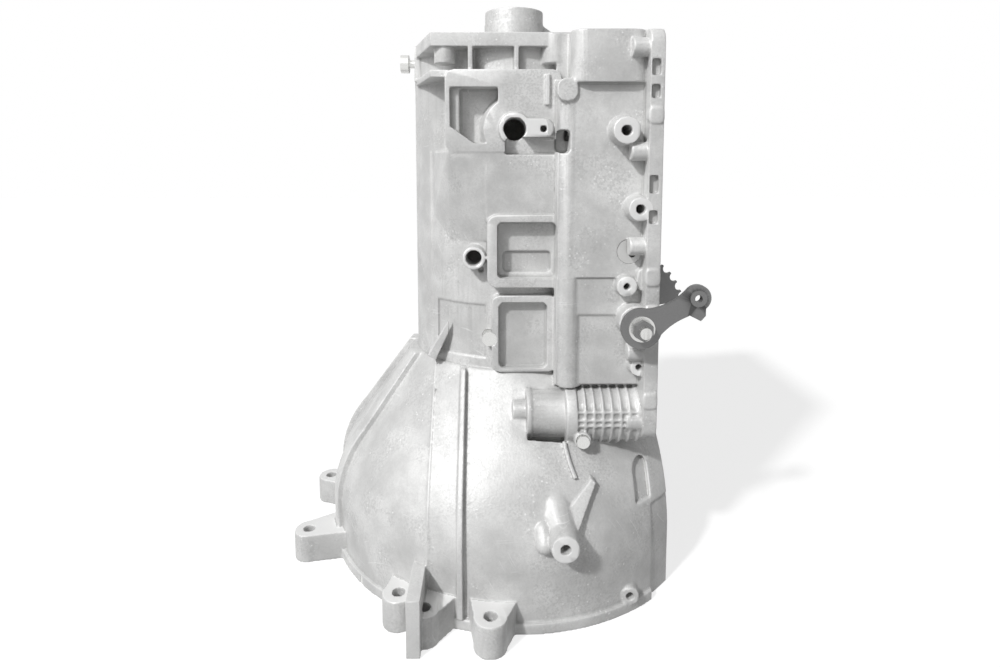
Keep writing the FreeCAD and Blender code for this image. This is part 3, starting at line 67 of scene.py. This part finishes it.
# The slopes by which the upper pad runs out into the barrel, as corners in millimetres
CAST_BLENDS = (
    (
        (-63.0, -117.7, 400.5),
        (-28.0, -117.7, 400.5),
        (-28.0, -112.5, 346.0),
        (-28.0, -101.5, 318.0),
        (-45.0, -94.5, 318.0),
        (-63.0, -84.0, 318.0),
        (-80.0, -67.0, 400.5),
        (-80.0, -67.0, 340.0),
        (-40.0, -70.0, 400.5),
        (-28.0, -70.0, 400.5),
        (-40.0, -70.0, 318.0),
        (-28.0, -70.0, 318.0),
    ),
    (
        (-29.0, -117.7, 400.5),
        (-12.4, -117.7, 400.5),
        (-29.0, -112.5, 337.2),
        (-12.4, -112.5, 337.2),
        (-29.0, -80.0, 400.5),
        (-12.4, -80.0, 400.5),
        (-29.0, -80.0, 337.2),
        (-12.4, -80.0, 337.2),
    ),
    (
        (-13.0, -117.5, 397.4),
        (34.6, -117.5, 397.4),
        (-13.0, -112.5, 337.2),
        (34.6, -112.5, 337.2),
        (-13.0, -80.0, 397.4),
        (34.6, -80.0, 397.4),
        (-13.0, -80.0, 337.2),
        (34.6, -80.0, 337.2),
    ),
    (
        (-13.0, -108.6, 390.0),
        (34.6, -108.6, 390.0),
        (-13.0, -108.6, 401.5),
        (34.6, -108.6, 401.5),
        (-13.0, -80.0, 390.0),
        (34.6, -80.0, 390.0),
        (-13.0, -80.0, 401.5),
        (34.6, -80.0, 401.5),
    ),
)

# The humps beside the bell's side boss, each drawn over two balls: centre and radius in millimetres
CAST_HUMPS = (
    ((29.4, -162.0, 94.3, 17.0), (34.0, -178.0, 83.0, 14.0)),
    ((18.9, -180.0, 83.3, 8.5), (20.0, -188.0, 75.5, 7.6)),
)
# The corners that stand for a ball: one for each step round, on each ring between its poles
BALL_RINGS = 7
BALL_STEPS = 16

# Corners of the CAD mesh closer than this are one corner
WELD_DISTANCE = 0.001 * MM
# How far one pass moves a corner towards the middle of its neighbours
SMOOTH_FACTOR = 0.5

SPECK_WHITE = (0.9, 0.9, 0.9, 1.0)
SCRATCH_WHITE = (0.85, 0.85, 0.85, 1.0)
# Painted shade: the grey that concave corners and creases are darkened towards
CORNER_SHADE_GREY = (0.2, 0.2, 0.195, 1.0)

# Turns of the three sets of scratches, in radians
SCRATCH_TURNS = (0.5, -0.9, 1.9)

# The sockets of a colour mix
MIX_FACTOR, MIX_FIRST, MIX_SECOND, MIX_RESULT = 0, 6, 7, 2

NODE_SPACING = 190

# The floor's half width in metres, its paint, and the strength of its glow where it is seen
FLOOR_HALF = 6.0
FLOOR_PAINT = (0.36, 0.36, 0.36, 1.0)
FLOOR_GLOW = 0.75
WHITE = (1.0, 1.0, 1.0, 1.0)

# The sun's direction, and how wide it looks in degrees
KEY_TOWARDS = (0.508, 0.565, -0.65)
KEY_WIDTH = 4

# The wide lamp's place, what it is turned to and its side, in millimetres
UPPER_PLACE = (-480.0, -620.0, 880.0)
UPPER_AIM = (0.0, -100.0, 400.0)
UPPER_SIZE = 450.0

# The camera's place in millimetres, and its tilt down and its turn to the right in degrees
CAMERA_PLACE = (-24.5, -676.8, 392.2)
CAMERA_TILT = 5.57
CAMERA_TURN = 0.83
CAMERA_SENSOR = 36.0
CAMERA_LENS = 0.6257 * CAMERA_SENSOR
CAMERA_SHIFT = -0.112
CAMERA_NEAREST = 0.01

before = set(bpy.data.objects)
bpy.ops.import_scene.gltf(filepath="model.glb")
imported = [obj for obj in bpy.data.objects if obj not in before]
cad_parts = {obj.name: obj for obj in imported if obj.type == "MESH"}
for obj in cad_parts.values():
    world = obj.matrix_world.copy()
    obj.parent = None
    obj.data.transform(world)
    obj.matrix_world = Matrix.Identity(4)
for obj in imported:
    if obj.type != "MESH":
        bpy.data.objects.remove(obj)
cad_low, cad_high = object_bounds()


class HousingCasting(bpy.types.PropertyGroup):
    grid: FloatProperty(
        name="Grid",
        description="Cell of the grid that rounds the casting's edges and corners",
        default=1.0 * MM,
        min=0.8 * MM,
        subtype="DISTANCE",
        unit="LENGTH",
    )
    smoothing: IntProperty(
        name="Smoothing", description="Passes that soften the cast edges", default=2, min=0
    )
    triangles: IntProperty(
        name="Triangles",
        description="Most triangles that the casting keeps",
        default=196000,
        min=20000,
    )


class HousingColours(bpy.types.PropertyGroup):
    cast: FloatVectorProperty(
        name="Cast skin",
        description="Colour of the as-cast aluminium",
        default=(0.6, 0.6, 0.595),
        size=3,
        subtype="COLOR",
    )
    machined: FloatVectorProperty(
        name="Machined face",
        description="Colour of the faces that a cutter has passed over",
        default=(0.8, 0.8, 0.795),
        size=3,
        subtype="COLOR",
    )
    dark_steel: FloatVectorProperty(
        name="Dark steel",
        description="Colour of the lever and the toothed plate",
        default=(0.135, 0.135, 0.135),
        size=3,
        subtype="COLOR",
    )
    bright_steel: FloatVectorProperty(
        name="Bright steel",
        description="Colour of the ground and plated steel",
        default=(0.5, 0.5, 0.49),
        size=3,
        subtype="COLOR",
    )
    bronze: FloatVectorProperty(
        name="Bronze",
        description="Colour of the bushing's lining",
        default=(0.5, 0.34, 0.17),
        size=3,
        subtype="COLOR",
    )
    rubber: FloatVectorProperty(
        name="Rubber",
        description="Colour of the shaft seal",
        default=(0.03, 0.03, 0.03),
        size=3,
        subtype="COLOR",
    )


class HousingStage(bpy.types.PropertyGroup):
    key_strength: FloatProperty(
        name="Key light",
        description="Strength of the sun from the upper left",
        default=2.45,
        min=0.0,
    )
    upper_power: FloatProperty(
        name="Upper light",
        description="Power of the wide lamp above the rear face",
        default=2.9,
        min=0.0,
    )
    sky_strength: FloatProperty(
        name="Sky", description="Strength of the even light all round", default=0.2, min=0.0
    )


def tinted(colour, factor=1.0, lift=0.0):
    """A colour made paler or duller, as the four values that a socket takes."""
    return tuple(min(1.0, c * factor + lift) for c in colour) + (1.0,)


class Nodes:
    """A node tree that is filled in left to right."""

    def __init__(self, tree):
        self.tree = tree
        self.column = 0

    def add(self, kind, values=None, **settings):
        node = self.tree.nodes.new(kind)
        node.location = (self.column * NODE_SPACING, 0)
        self.column += 1
        for name, value in settings.items():
            setattr(node, name, value)
        for socket, value in (values or {}).items():
            self.feed(node.inputs[socket], value)
        return node

    def feed(self, socket, value):
        if isinstance(value, bpy.types.NodeSocket):
            self.tree.links.new(value, socket)
        else:
            socket.default_value = value

    def math(self, operation, *values):
        node = self.add("ShaderNodeMath", operation=operation)
        for socket, value in zip(node.inputs, values):
            self.feed(socket, value)
        return node.outputs[0]

    def between(self, value, low, high, to_low=0.0, to_high=1.0):
        node = self.add(
            "ShaderNodeMapRange",
            {
                "Value": value,
                "From Min": low,
                "From Max": high,
                "To Min": to_low,
                "To Max": to_high,
            },
        )
        node.interpolation_type = "SMOOTHSTEP"
        return node.outputs["Result"]

    def noise(self, place, scale, detail=2.0, rough=0.5):
        node = self.add(
            "ShaderNodeTexNoise",
            {"Vector": place, "Scale": scale, "Detail": detail, "Roughness": rough},
        )
        return node.outputs["Fac"]

    def mix(self, factor, first, second):
        node = self.add("ShaderNodeMix", data_type="RGBA")
        self.feed(node.inputs[MIX_FACTOR], factor)
        self.feed(node.inputs[MIX_FIRST], first)
        self.feed(node.inputs[MIX_SECOND], second)
        return node.outputs[MIX_RESULT]

    def object_place(self):
        return self.add("ShaderNodeTexCoord").outputs["Object"]

    def largest(self, masks):
        total = masks[0]
        for mask in masks[1:]:
            total = self.math("MAXIMUM", total, mask)
        return total


def fresh_nodes(owner):
    """The emptied node tree of a material or a world."""
    owner.use_nodes = True
    owner.node_tree.nodes.clear()
    return Nodes(owner.node_tree)


def new_group(name, inputs, outputs):
    """A node group with these inputs, each with its value, and these outputs, all of one number."""
    group = bpy.data.node_groups.new(name, "ShaderNodeTree")
    sockets = group.interface
    for socket, value in inputs.items():
        made = sockets.new_socket(name=socket, in_out="INPUT", socket_type="NodeSocketFloat")
        made.default_value = value
    for socket in outputs:
        sockets.new_socket(name=socket, in_out="OUTPUT", socket_type="NodeSocketFloat")
    nodes = Nodes(group)
    source = nodes.add("NodeGroupInput")
    result = nodes.add("NodeGroupOutput")
    return group, nodes, source.outputs, result.inputs


def sand_skin_group():
    """The skin of a blasted die casting: fine grain, blotches, bright specks and broad clouds."""
    group, n, given, out = new_group(
        "sand_skin",
        {"Grain": 1400.0, "Clouds": 26.0},
        ("Grain", "Specks", "Mottle", "Clouds", "Height"),
    )
    place = n.object_place()
    grain = n.noise(place, given["Grain"], 3.0, 0.65)
    clouds = n.noise(place, given["Clouds"], 4.0, 0.6)
    coarse = n.noise(place, n.math("MULTIPLY", given["Grain"], 0.34), 3.0, 0.6)
    cell_scale = n.math("MULTIPLY", given["Grain"], 0.3)
    cells = n.add("ShaderNodeTexVoronoi", {"Vector": place, "Scale": cell_scale})
    pick = n.math("GREATER_THAN", cells.outputs["Color"], 0.8)
    near = n.between(cells.outputs["Distance"], 0.15, 0.5, 1.0, 0.0)
    patch = n.between(n.noise(place, 30.0, 4.0, 0.62), 0.46, 0.62)
    specks = n.math("MULTIPLY", n.math("MULTIPLY", pick, near), patch)
    blotches = n.between(coarse, 0.42, 0.62)
    mottle = n.math("MULTIPLY", blotches, n.between(patch, 0.0, 1.0, 0.35, 1.0))
    height = n.math("ADD", n.math("MULTIPLY", grain, 0.4), n.math("MULTIPLY", coarse, 1.1))
    n.feed(out["Grain"], grain)
    n.feed(out["Specks"], specks)
    n.feed(out["Mottle"], mottle)
    n.feed(out["Clouds"], clouds)
    n.feed(out["Height"], n.math("ADD", height, n.math("MULTIPLY", specks, 0.35)))
    return group


def scratches_group():
    """Fine scratches in three directions, as a mask."""
    group, n, given, out = new_group(
        "scratches", {"Length": 18.0, "Fineness": 900.0, "Amount": 0.5}, ("Mask",)
    )
    place = n.object_place()
    masks = []
    for turn in SCRATCH_TURNS:
        turned = {"Vector": place, "Rotation": (turn, turn * 0.7, turn)}
        mapping = n.add("ShaderNodeMapping", turned)
        scaled = n.add("ShaderNodeVectorMath", operation="MULTIPLY")
        n.feed(scaled.inputs[0], mapping.outputs["Vector"])
        stretch = n.add(
            "ShaderNodeCombineXYZ",
            {"X": given["Fineness"], "Y": given["Length"], "Z": given["Length"]},
        )
        n.feed(scaled.inputs[1], stretch.outputs["Vector"])
        lines = n.noise(scaled.outputs["Vector"], 1.0, 1.0, 0.5)
        where = n.noise(mapping.outputs["Vector"], 32.0, 2.0, 0.5)
        line = n.between(lines, 0.69, 0.74)
        masks.append(n.math("MULTIPLY", line, n.between(where, 0.55, 0.62)))
    n.feed(out["Mask"], n.math("MULTIPLY", n.largest(masks), given["Amount"]))
    return group


def edge_wear_and_shade_group():
    """Bright rubbed edges, and painted shade darkening concave corners, from how the surface bends.
    """
    group, n, given, out = new_group(
        "edge_wear_and_shade", {"Edge": 0.06, "Corner": 0.05}, ("Edge", "Corner")
    )
    bend = n.add("ShaderNodeNewGeometry").outputs["Pointiness"]
    high = n.math("ADD", 0.5, given["Edge"])
    low = n.math("SUBTRACT", 0.5, given["Corner"])
    n.feed(out["Edge"], n.between(bend, 0.505, high))
    # Corner mask: painted shade where the surface bends inwards
    n.feed(out["Corner"], n.between(bend, 0.495, low))
    return group


def cutter_marks_group():
    """The arcs that a face mill leaves on a flat face."""
    group, n, given, out = new_group("cutter_marks", {"Pitch": 520.0}, ("Height",))
    wave = n.add(
        "ShaderNodeTexWave",
        {"Vector": n.object_place(), "Scale": given["Pitch"], "Distortion": 1.5, "Detail": 1.0},
        wave_type="RINGS",
        rings_direction="SPHERICAL",
    )
    n.feed(out["Height"], wave.outputs["Fac"])
    return group


def faced_group():
    """The faces that a cutter has passed over, as a mask: planes, and bosses of the near side."""
    group, n, given, out = new_group("faced", {"Depth": 0.35 * MM}, ("Mask",))
    place = n.object_place()
    along = n.add("ShaderNodeSeparateXYZ", {"Vector": place}).outputs
    normal = n.add("ShaderNodeNewGeometry").outputs["True Normal"]
    turned = n.add("ShaderNodeSeparateXYZ", {"Vector": normal}).outputs

    def level(axis, at):
        off = n.math("ABSOLUTE", n.math("SUBTRACT", along[axis], at * MM))
        return n.math("LESS_THAN", off, given["Depth"])

    faced = []
    for axis, at in FACED_PLANES:
        square = n.math("GREATER_THAN", n.math("ABSOLUTE", turned[axis]), SQUARE_ON)
        faced.append(n.math("MULTIPLY", level(axis, at), square))
    towards = n.math("LESS_THAN", turned["Y"], -SQUARE_ON)
    for x, y, z, radius in FACED_BOSSES:
        centre = n.add("ShaderNodeVectorMath", operation="DISTANCE")
        n.feed(centre.inputs[0], place)
        n.feed(centre.inputs[1], (x * MM, y * MM, z * MM))
        near = n.math("LESS_THAN", centre.outputs["Value"], radius * MM)
        faced.append(n.math("MULTIPLY", n.math("MULTIPLY", near, level("Y", y)), towards))
    n.feed(out["Mask"], n.largest(faced))
    return group


def place_group(n, group, **values):
    return n.add("ShaderNodeGroup", values, node_tree=group).outputs


def new_material(name):
    material = bpy.data.materials.new(name)
    n = fresh_nodes(material)
    shader = n.add("ShaderNodeBsdfPrincipled")
    n.add("ShaderNodeOutputMaterial", {"Surface": shader.outputs["BSDF"]})
    return material, n, shader.inputs


def give_relief(n, shader, height, strength, depth):
    bump = n.add(
        "ShaderNodeBump", {"Strength": strength, "Distance": depth * MM, "Height": height}
    )
    n.feed(shader["Normal"], bump.outputs["Normal"])


def cast_aluminium(name, groups, colours):
    material, n, shader = new_material(name)
    skin = place_group(n, groups["sand_skin"])
    wear_and_shade = place_group(n, groups["edge_wear_and_shade"])
    scratch = place_group(n, groups["scratches"])["Mask"]
    marks = place_group(n, groups["cutter_marks"])["Height"]
    cut = place_group(n, groups["faced"])["Mask"]
    pale = tinted(colours.cast, 1.16)
    dull = tinted(colours.cast, 0.84)
    tone = n.mix(n.between(skin["Clouds"], 0.3, 0.72), dull, pale)
    tone = n.mix(n.between(skin["Grain"], 0.34, 0.6, 0.4, 0.0), tone, dull)
    layers = (
        (skin["Mottle"], 0.5, tinted(colours.cast, 0.68)),
        (skin["Specks"], 0.6, SPECK_WHITE),
        (wear_and_shade["Edge"], 0.45, pale),
        # Painted shade: concave corners darkened towards grey
        (wear_and_shade["Corner"], 0.5, CORNER_SHADE_GREY),
        (scratch, 0.6, SCRATCH_WHITE),
        (cut, 0.85, tinted(colours.machined)),
    )
    for mask, amount, colour in layers:
        tone = n.mix(n.math("MULTIPLY", mask, amount), tone, colour)
    n.feed(shader["Base Color"], tone)
    shader["Metallic"].default_value = 0.15
    rough = n.between(skin["Grain"], 0.3, 0.7, 0.42, 0.6)
    n.feed(shader["Roughness"], n.math("SUBTRACT", rough, n.math("MULTIPLY", cut, 0.14)))
    uncut = n.math("SUBTRACT", 1.0, n.math("MULTIPLY", cut, 0.9))
    cast_height = n.math("MULTIPLY", skin["Height"], uncut)
    cut_height = n.math("MULTIPLY", n.math("MULTIPLY", marks, cut), 0.12)
    give_relief(n, shader, n.math("ADD", cast_height, cut_height), 0.55, 0.35)
    return material


def metal(name, groups, colour, roughness, grain, metallic):
    material, n, shader = new_material(name)
    skin = place_group(n, groups["sand_skin"], Grain=grain)
    wear_and_shade = place_group(n, groups["edge_wear_and_shade"])
    scratch = place_group(n, groups["scratches"])["Mask"]
    pale = tinted(colour, 1.6, 0.03)
    tone = n.mix(n.between(skin["Clouds"], 0.35, 0.7), tinted(colour, 0.6), tinted(colour))
    tone = n.mix(n.math("MULTIPLY", wear_and_shade["Edge"], 0.7), tone, pale)
    tone = n.mix(n.math("MULTIPLY", scratch, 0.5), tone, pale)
    n.feed(shader["Base Color"], tone)
    shader["Metallic"].default_value = metallic
    rough = n.between(skin["Grain"], 0.3, 0.7, roughness - 0.07, roughness + 0.1)
    n.feed(shader["Roughness"], rough)
    give_relief(n, shader, skin["Height"], 0.3, 0.12)
    return material


def rubber(name, groups, colour):
    material, n, shader = new_material(name)
    skin = place_group(n, groups["sand_skin"], Grain=2200.0)
    tone = n.mix(n.between(skin["Clouds"], 0.3, 0.75), tinted(colour), tinted(colour, 2.5))
    n.feed(shader["Base Color"], tone)
    n.feed(shader["Roughness"], n.between(skin["Grain"], 0.3, 0.7, 0.55, 0.75))
    give_relief(n, shader, skin["Height"], 0.2, 0.08)
    return material


def finishes():
    """Every finish of the housing, made once and kept by name."""
    made = {m.name: m for m in bpy.data.materials if m.get("housing_finish")}
    if made:
        return made
    colours = bpy.context.scene.housing_colours
    groups = {
        "sand_skin": sand_skin_group(),
        "scratches": scratches_group(),
        "edge_wear_and_shade": edge_wear_and_shade_group(),
        "cutter_marks": cutter_marks_group(),
        "faced": faced_group(),
    }
    # The colour, roughness, grain and metal share of each bare metal
    metals = {
        "plug_aluminium": ((0.4, 0.4, 0.395), 0.45, 1500.0, 0.6),
        "lever_steel": (colours.dark_steel, 0.5, 1100.0, 0.7),
        "ground_steel": (colours.bright_steel, 0.3, 1800.0, 0.9),
        "spring_steel_blue": ((0.2, 0.2, 0.21), 0.32, 2000.0, 0.9),
        "bushing_bronze": (colours.bronze, 0.35, 1600.0, 0.9),
    }
    every = [cast_aluminium("cast_aluminium_skin", groups, colours)]
    every += [metal(name, groups, *values) for name, values in metals.items()]
    every.append(rubber("seal_rubber_black", groups, colours.rubber))
    for material in every:
        material["housing_finish"] = True
    return {m.name: m for m in every}


def give_finish(obj, material):
    obj.data.materials.clear()
    obj.data.materials.append(material)


def finish_nodes(names, finish):
    for name in names:
        give_finish(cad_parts[name], finishes()[finish])


def ball_points(x, y, z, radius):
    """Corners spread over a ball, for the hull of a cast hump."""
    points = []
    for ring in range(1, BALL_RINGS + 1):
        rise = math.pi * ring / (BALL_RINGS + 1)
        across = radius * math.sin(rise)
        up = radius * math.cos(rise)
        for step in range(BALL_STEPS):
            turn = math.tau * step / BALL_STEPS
            points.append((x + across * math.cos(turn), y + across * math.sin(turn), z + up))
    return points


def cast_forms():
    """The closed forms that the grid melts into the casting, each as the corners of its hull."""
    humps = [[point for ball in balls for point in ball_points(*ball)] for balls in CAST_HUMPS]
    return [*CAST_BLENDS, *humps]


def modified_copy(node, name, steps, added):
    """A new piece with the mesh of a CAD node and the closed forms added, after these modifiers."""
    source = bmesh.new()
    source.from_mesh(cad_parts[node].data)
    bmesh.ops.remove_doubles(source, verts=source.verts, dist=WELD_DISTANCE)
    for corners in added:
        bmesh.ops.convex_hull(source, input=[source.verts.new(Vector(c) * MM) for c in corners])
    mesh = bpy.data.meshes.new(name)
    source.to_mesh(mesh)
    source.free()
    piece = bpy.data.objects.new(name, mesh)
    bpy.context.scene.collection.objects.link(piece)
    for kind, settings in steps:
        modifier = piece.modifiers.new(kind.lower(), kind)
        for key, value in settings.items():
            setattr(modifier, key, value)
    settle(piece)
    return piece


def settle(piece):
    """Turns what the modifiers make into the piece's own mesh."""
    bpy.context.view_layer.update()
    evaluated = piece.evaluated_get(bpy.context.evaluated_depsgraph_get())
    final = bpy.data.meshes.new_from_object(evaluated)
    old = piece.data
    piece.modifiers.clear()
    piece.data = final
    bpy.data.meshes.remove(old)


class HOUSING_OT_cast_case(bpy.types.Operator):
    """Make the casting, with the rounded edges and corners that a die leaves"""

    bl_idname = "housing.cast_case"
    bl_label = "Cast Case"

    def execute(self, context):
        sizes = context.scene.housing_casting
        steps = [
            ("REMESH", {"mode": "VOXEL", "voxel_size": sizes.grid}),
            ("SMOOTH", {"factor": SMOOTH_FACTOR, "iterations": sizes.smoothing}),
        ]
        piece = modified_copy("gearbox_case", "case_casting", steps, cast_forms())
        count = sum(len(p.vertices) - 2 for p in piece.data.polygons)
        reducer = piece.modifiers.new("reduce", "DECIMATE")
        reducer.ratio = min(1.0, sizes.triangles / count)
        settle(piece)
        piece.data.shade_smooth()
        give_finish(piece, finishes()["cast_aluminium_skin"])
        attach(piece, "case")
        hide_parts("gearbox_case")
        return {"FINISHED"}


class HOUSING_OT_lever_parts(bpy.types.Operator):
    """Finish the manual shaft, its lever, washer, nut, seal and toothed plate"""

    bl_idname = "housing.lever_parts"
    bl_label = "Lever and Shaft"

    def execute(self, context):
        finish_nodes(["manual_lever", "lever_nut", "detent_plate", "detent_nut"], "lever_steel")
        finish_nodes(["manual_shaft", "lever_washer", "shaft_lock_pin"], "ground_steel")
        finish_nodes(["shaft_seal"], "seal_rubber_black")
        return {"FINISHED"}


class HOUSING_OT_selector_parts(bpy.types.Operator):
    """Finish the detent spring, its roller and the parking lock"""

    bl_idname = "housing.selector_parts"
    bl_label = "Detent and Parking Lock"

    def execute(self, context):
        finish_nodes(["detent_spring", "pawl_spring"], "spring_steel_blue")
        finish_nodes(["detent_roller", "detent_spring_bolt"], "ground_steel")
        finish_nodes(["park_rod", "park_cam", "pawl_pin", "guide_bolts"], "ground_steel")
        finish_nodes(["park_pawl", "park_guide"], "lever_steel")
        return {"FINISHED"}


class HOUSING_OT_plugs(bpy.types.Operator):
    """Finish the plugs, the vent, the sleeves and the bushing"""

    bl_idname = "housing.plugs"
    bl_label = "Plugs, Vent and Bushing"

    def execute(self, context):
        finish_nodes(["flush_plug"], "plug_aluminium")
        finish_nodes(["servo_plug", "band_anchor_pin", "dowel_sleeves"], "ground_steel")
        finish_nodes(["vent_neck", "vent_cap"], "ground_steel")
        finish_nodes(["rear_bushing"], "bushing_bronze")
        return {"FINISHED"}


class HOUSING_OT_stage(bpy.types.Operator):
    """Set the floor, the light and the camera"""

    bl_idname = "housing.stage"
    bl_label = "Stage"

    def execute(self, context):
        settings = context.scene.housing_stage
        context.scene.view_settings.view_transform = "Standard"
        make_floor()
        make_sky(settings.sky_strength)
        make_key_light(settings.key_strength)
        make_upper_light(settings.upper_power)
        make_camera()
        return {"FINISHED"}


def seen_ray(n):
    """One for the rays that show the background: from the camera, mirrored or through glass."""
    ray = n.add("ShaderNodeLightPath").outputs
    mirrored = n.math("MAXIMUM", ray["Is Glossy Ray"], ray["Is Transmission Ray"])
    return n.math("MAXIMUM", ray["Is Camera Ray"], mirrored)


def make_floor():
    mesh = bpy.data.meshes.new("floor")
    sides = ((-1, -1), (1, -1), (1, 1), (-1, 1))
    corners = [(x * FLOOR_HALF, y * FLOOR_HALF, cad_low.z) for x, y in sides]
    mesh.from_pydata(corners, [], [(0, 1, 2, 3)])
    floor = bpy.data.objects.new("floor", mesh)
    bpy.context.scene.collection.objects.link(floor)
    material = bpy.data.materials.new("floor_white")
    n = fresh_nodes(material)
    paint = n.add("ShaderNodeBsdfDiffuse", {"Color": FLOOR_PAINT})
    glow = n.add("ShaderNodeEmission", {"Strength": n.math("MULTIPLY", seen_ray(n), FLOOR_GLOW)})
    shown = n.add("ShaderNodeAddShader")
    n.feed(shown.inputs[0], paint.outputs[0])
    n.feed(shown.inputs[1], glow.outputs[0])
    n.add("ShaderNodeOutputMaterial", {"Surface": shown.outputs[0]})
    mesh.materials.append(material)


def make_sky(strength):
    world = bpy.data.worlds.new("sky")
    n = fresh_nodes(world)
    lit = n.add("ShaderNodeBackground", {"Color": WHITE, "Strength": strength})
    white = n.add("ShaderNodeBackground", {"Color": WHITE, "Strength": 1.0})
    shown = n.add("ShaderNodeMixShader", {"Fac": seen_ray(n)})
    n.feed(shown.inputs[1], lit.outputs[0])
    n.feed(shown.inputs[2], white.outputs[0])
    n.add("ShaderNodeOutputWorld", {"Surface": shown.outputs[0]})
    bpy.context.scene.world = world


def place_lamp(light, towards):
    lamp = bpy.data.objects.new(light.name, light)
    bpy.context.scene.collection.objects.link(lamp)
    lamp.rotation_mode = "QUATERNION"
    lamp.rotation_quaternion = towards.to_track_quat("-Z", "Y")
    return lamp


def make_key_light(strength):
    light = bpy.data.lights.new("key", "SUN")
    light.energy = strength
    light.angle = math.radians(KEY_WIDTH)
    place_lamp(light, Vector(KEY_TOWARDS))


def make_upper_light(power):
    light = bpy.data.lights.new("upper", "AREA")
    light.energy = power
    light.size = UPPER_SIZE * MM
    place = Vector(UPPER_PLACE) * MM
    lamp = place_lamp(light, Vector(UPPER_AIM) * MM - place)
    lamp.location = place


def make_camera():
    camera = bpy.data.cameras.new("camera")
    camera.sensor_width = CAMERA_SENSOR
    camera.lens = CAMERA_LENS
    camera.shift_y = CAMERA_SHIFT
    camera.clip_start = CAMERA_NEAREST
    eye = bpy.data.objects.new("camera", camera)
    bpy.context.scene.collection.objects.link(eye)
    eye.location = Vector(CAMERA_PLACE) * MM
    tilt, turn = math.radians(CAMERA_TILT), math.radians(CAMERA_TURN)
    eye.rotation_euler = (math.radians(90) - tilt, 0.0, -turn)
    bpy.context.scene.camera = eye


class HOUSING_PT_panel(bpy.types.Panel):
    """The steps that dress the housing"""

    bl_idname = "HOUSING_PT_panel"
    bl_label = "Gearbox Housing"
    bl_space_type = "VIEW_3D"
    bl_region_type = "UI"
    bl_category = "Housing"

    def draw(self, context):
        layout = self.layout
        for group in SETTINGS:
            settings = getattr(context.scene, group)
            for key in settings.bl_rna.properties.keys():
                if key not in ("rna_type", "name"):
                    layout.prop(settings, key)
        for operator in OPERATORS:
            layout.operator(operator.bl_idname)


SETTINGS = {
    "housing_casting": HousingCasting,
    "housing_colours": HousingColours,
    "housing_stage": HousingStage,
}
OPERATORS = (
    HOUSING_OT_stage,
    HOUSING_OT_cast_case,
    HOUSING_OT_lever_parts,
    HOUSING_OT_selector_parts,
    HOUSING_OT_plugs,
)


def register():
    for name, group in SETTINGS.items():
        bpy.utils.register_class(group)
        setattr(bpy.types.Scene, name, PointerProperty(type=group))
    for operator in OPERATORS:
        bpy.utils.register_class(operator)
    bpy.utils.register_class(HOUSING_PT_panel)


def unregister():
    bpy.utils.unregister_class(HOUSING_PT_panel)
    for operator in reversed(OPERATORS):
        bpy.utils.unregister_class(operator)
    for name, group in reversed(SETTINGS.items()):
        delattr(bpy.types.Scene, name)
        bpy.utils.unregister_class(group)


def main():
    register()
    bpy.ops.housing.stage()
    bpy.ops.housing.cast_case()
    bpy.ops.housing.lever_parts()
    bpy.ops.housing.selector_parts()
    bpy.ops.housing.plugs()


if __name__ == "__main__":
    main()
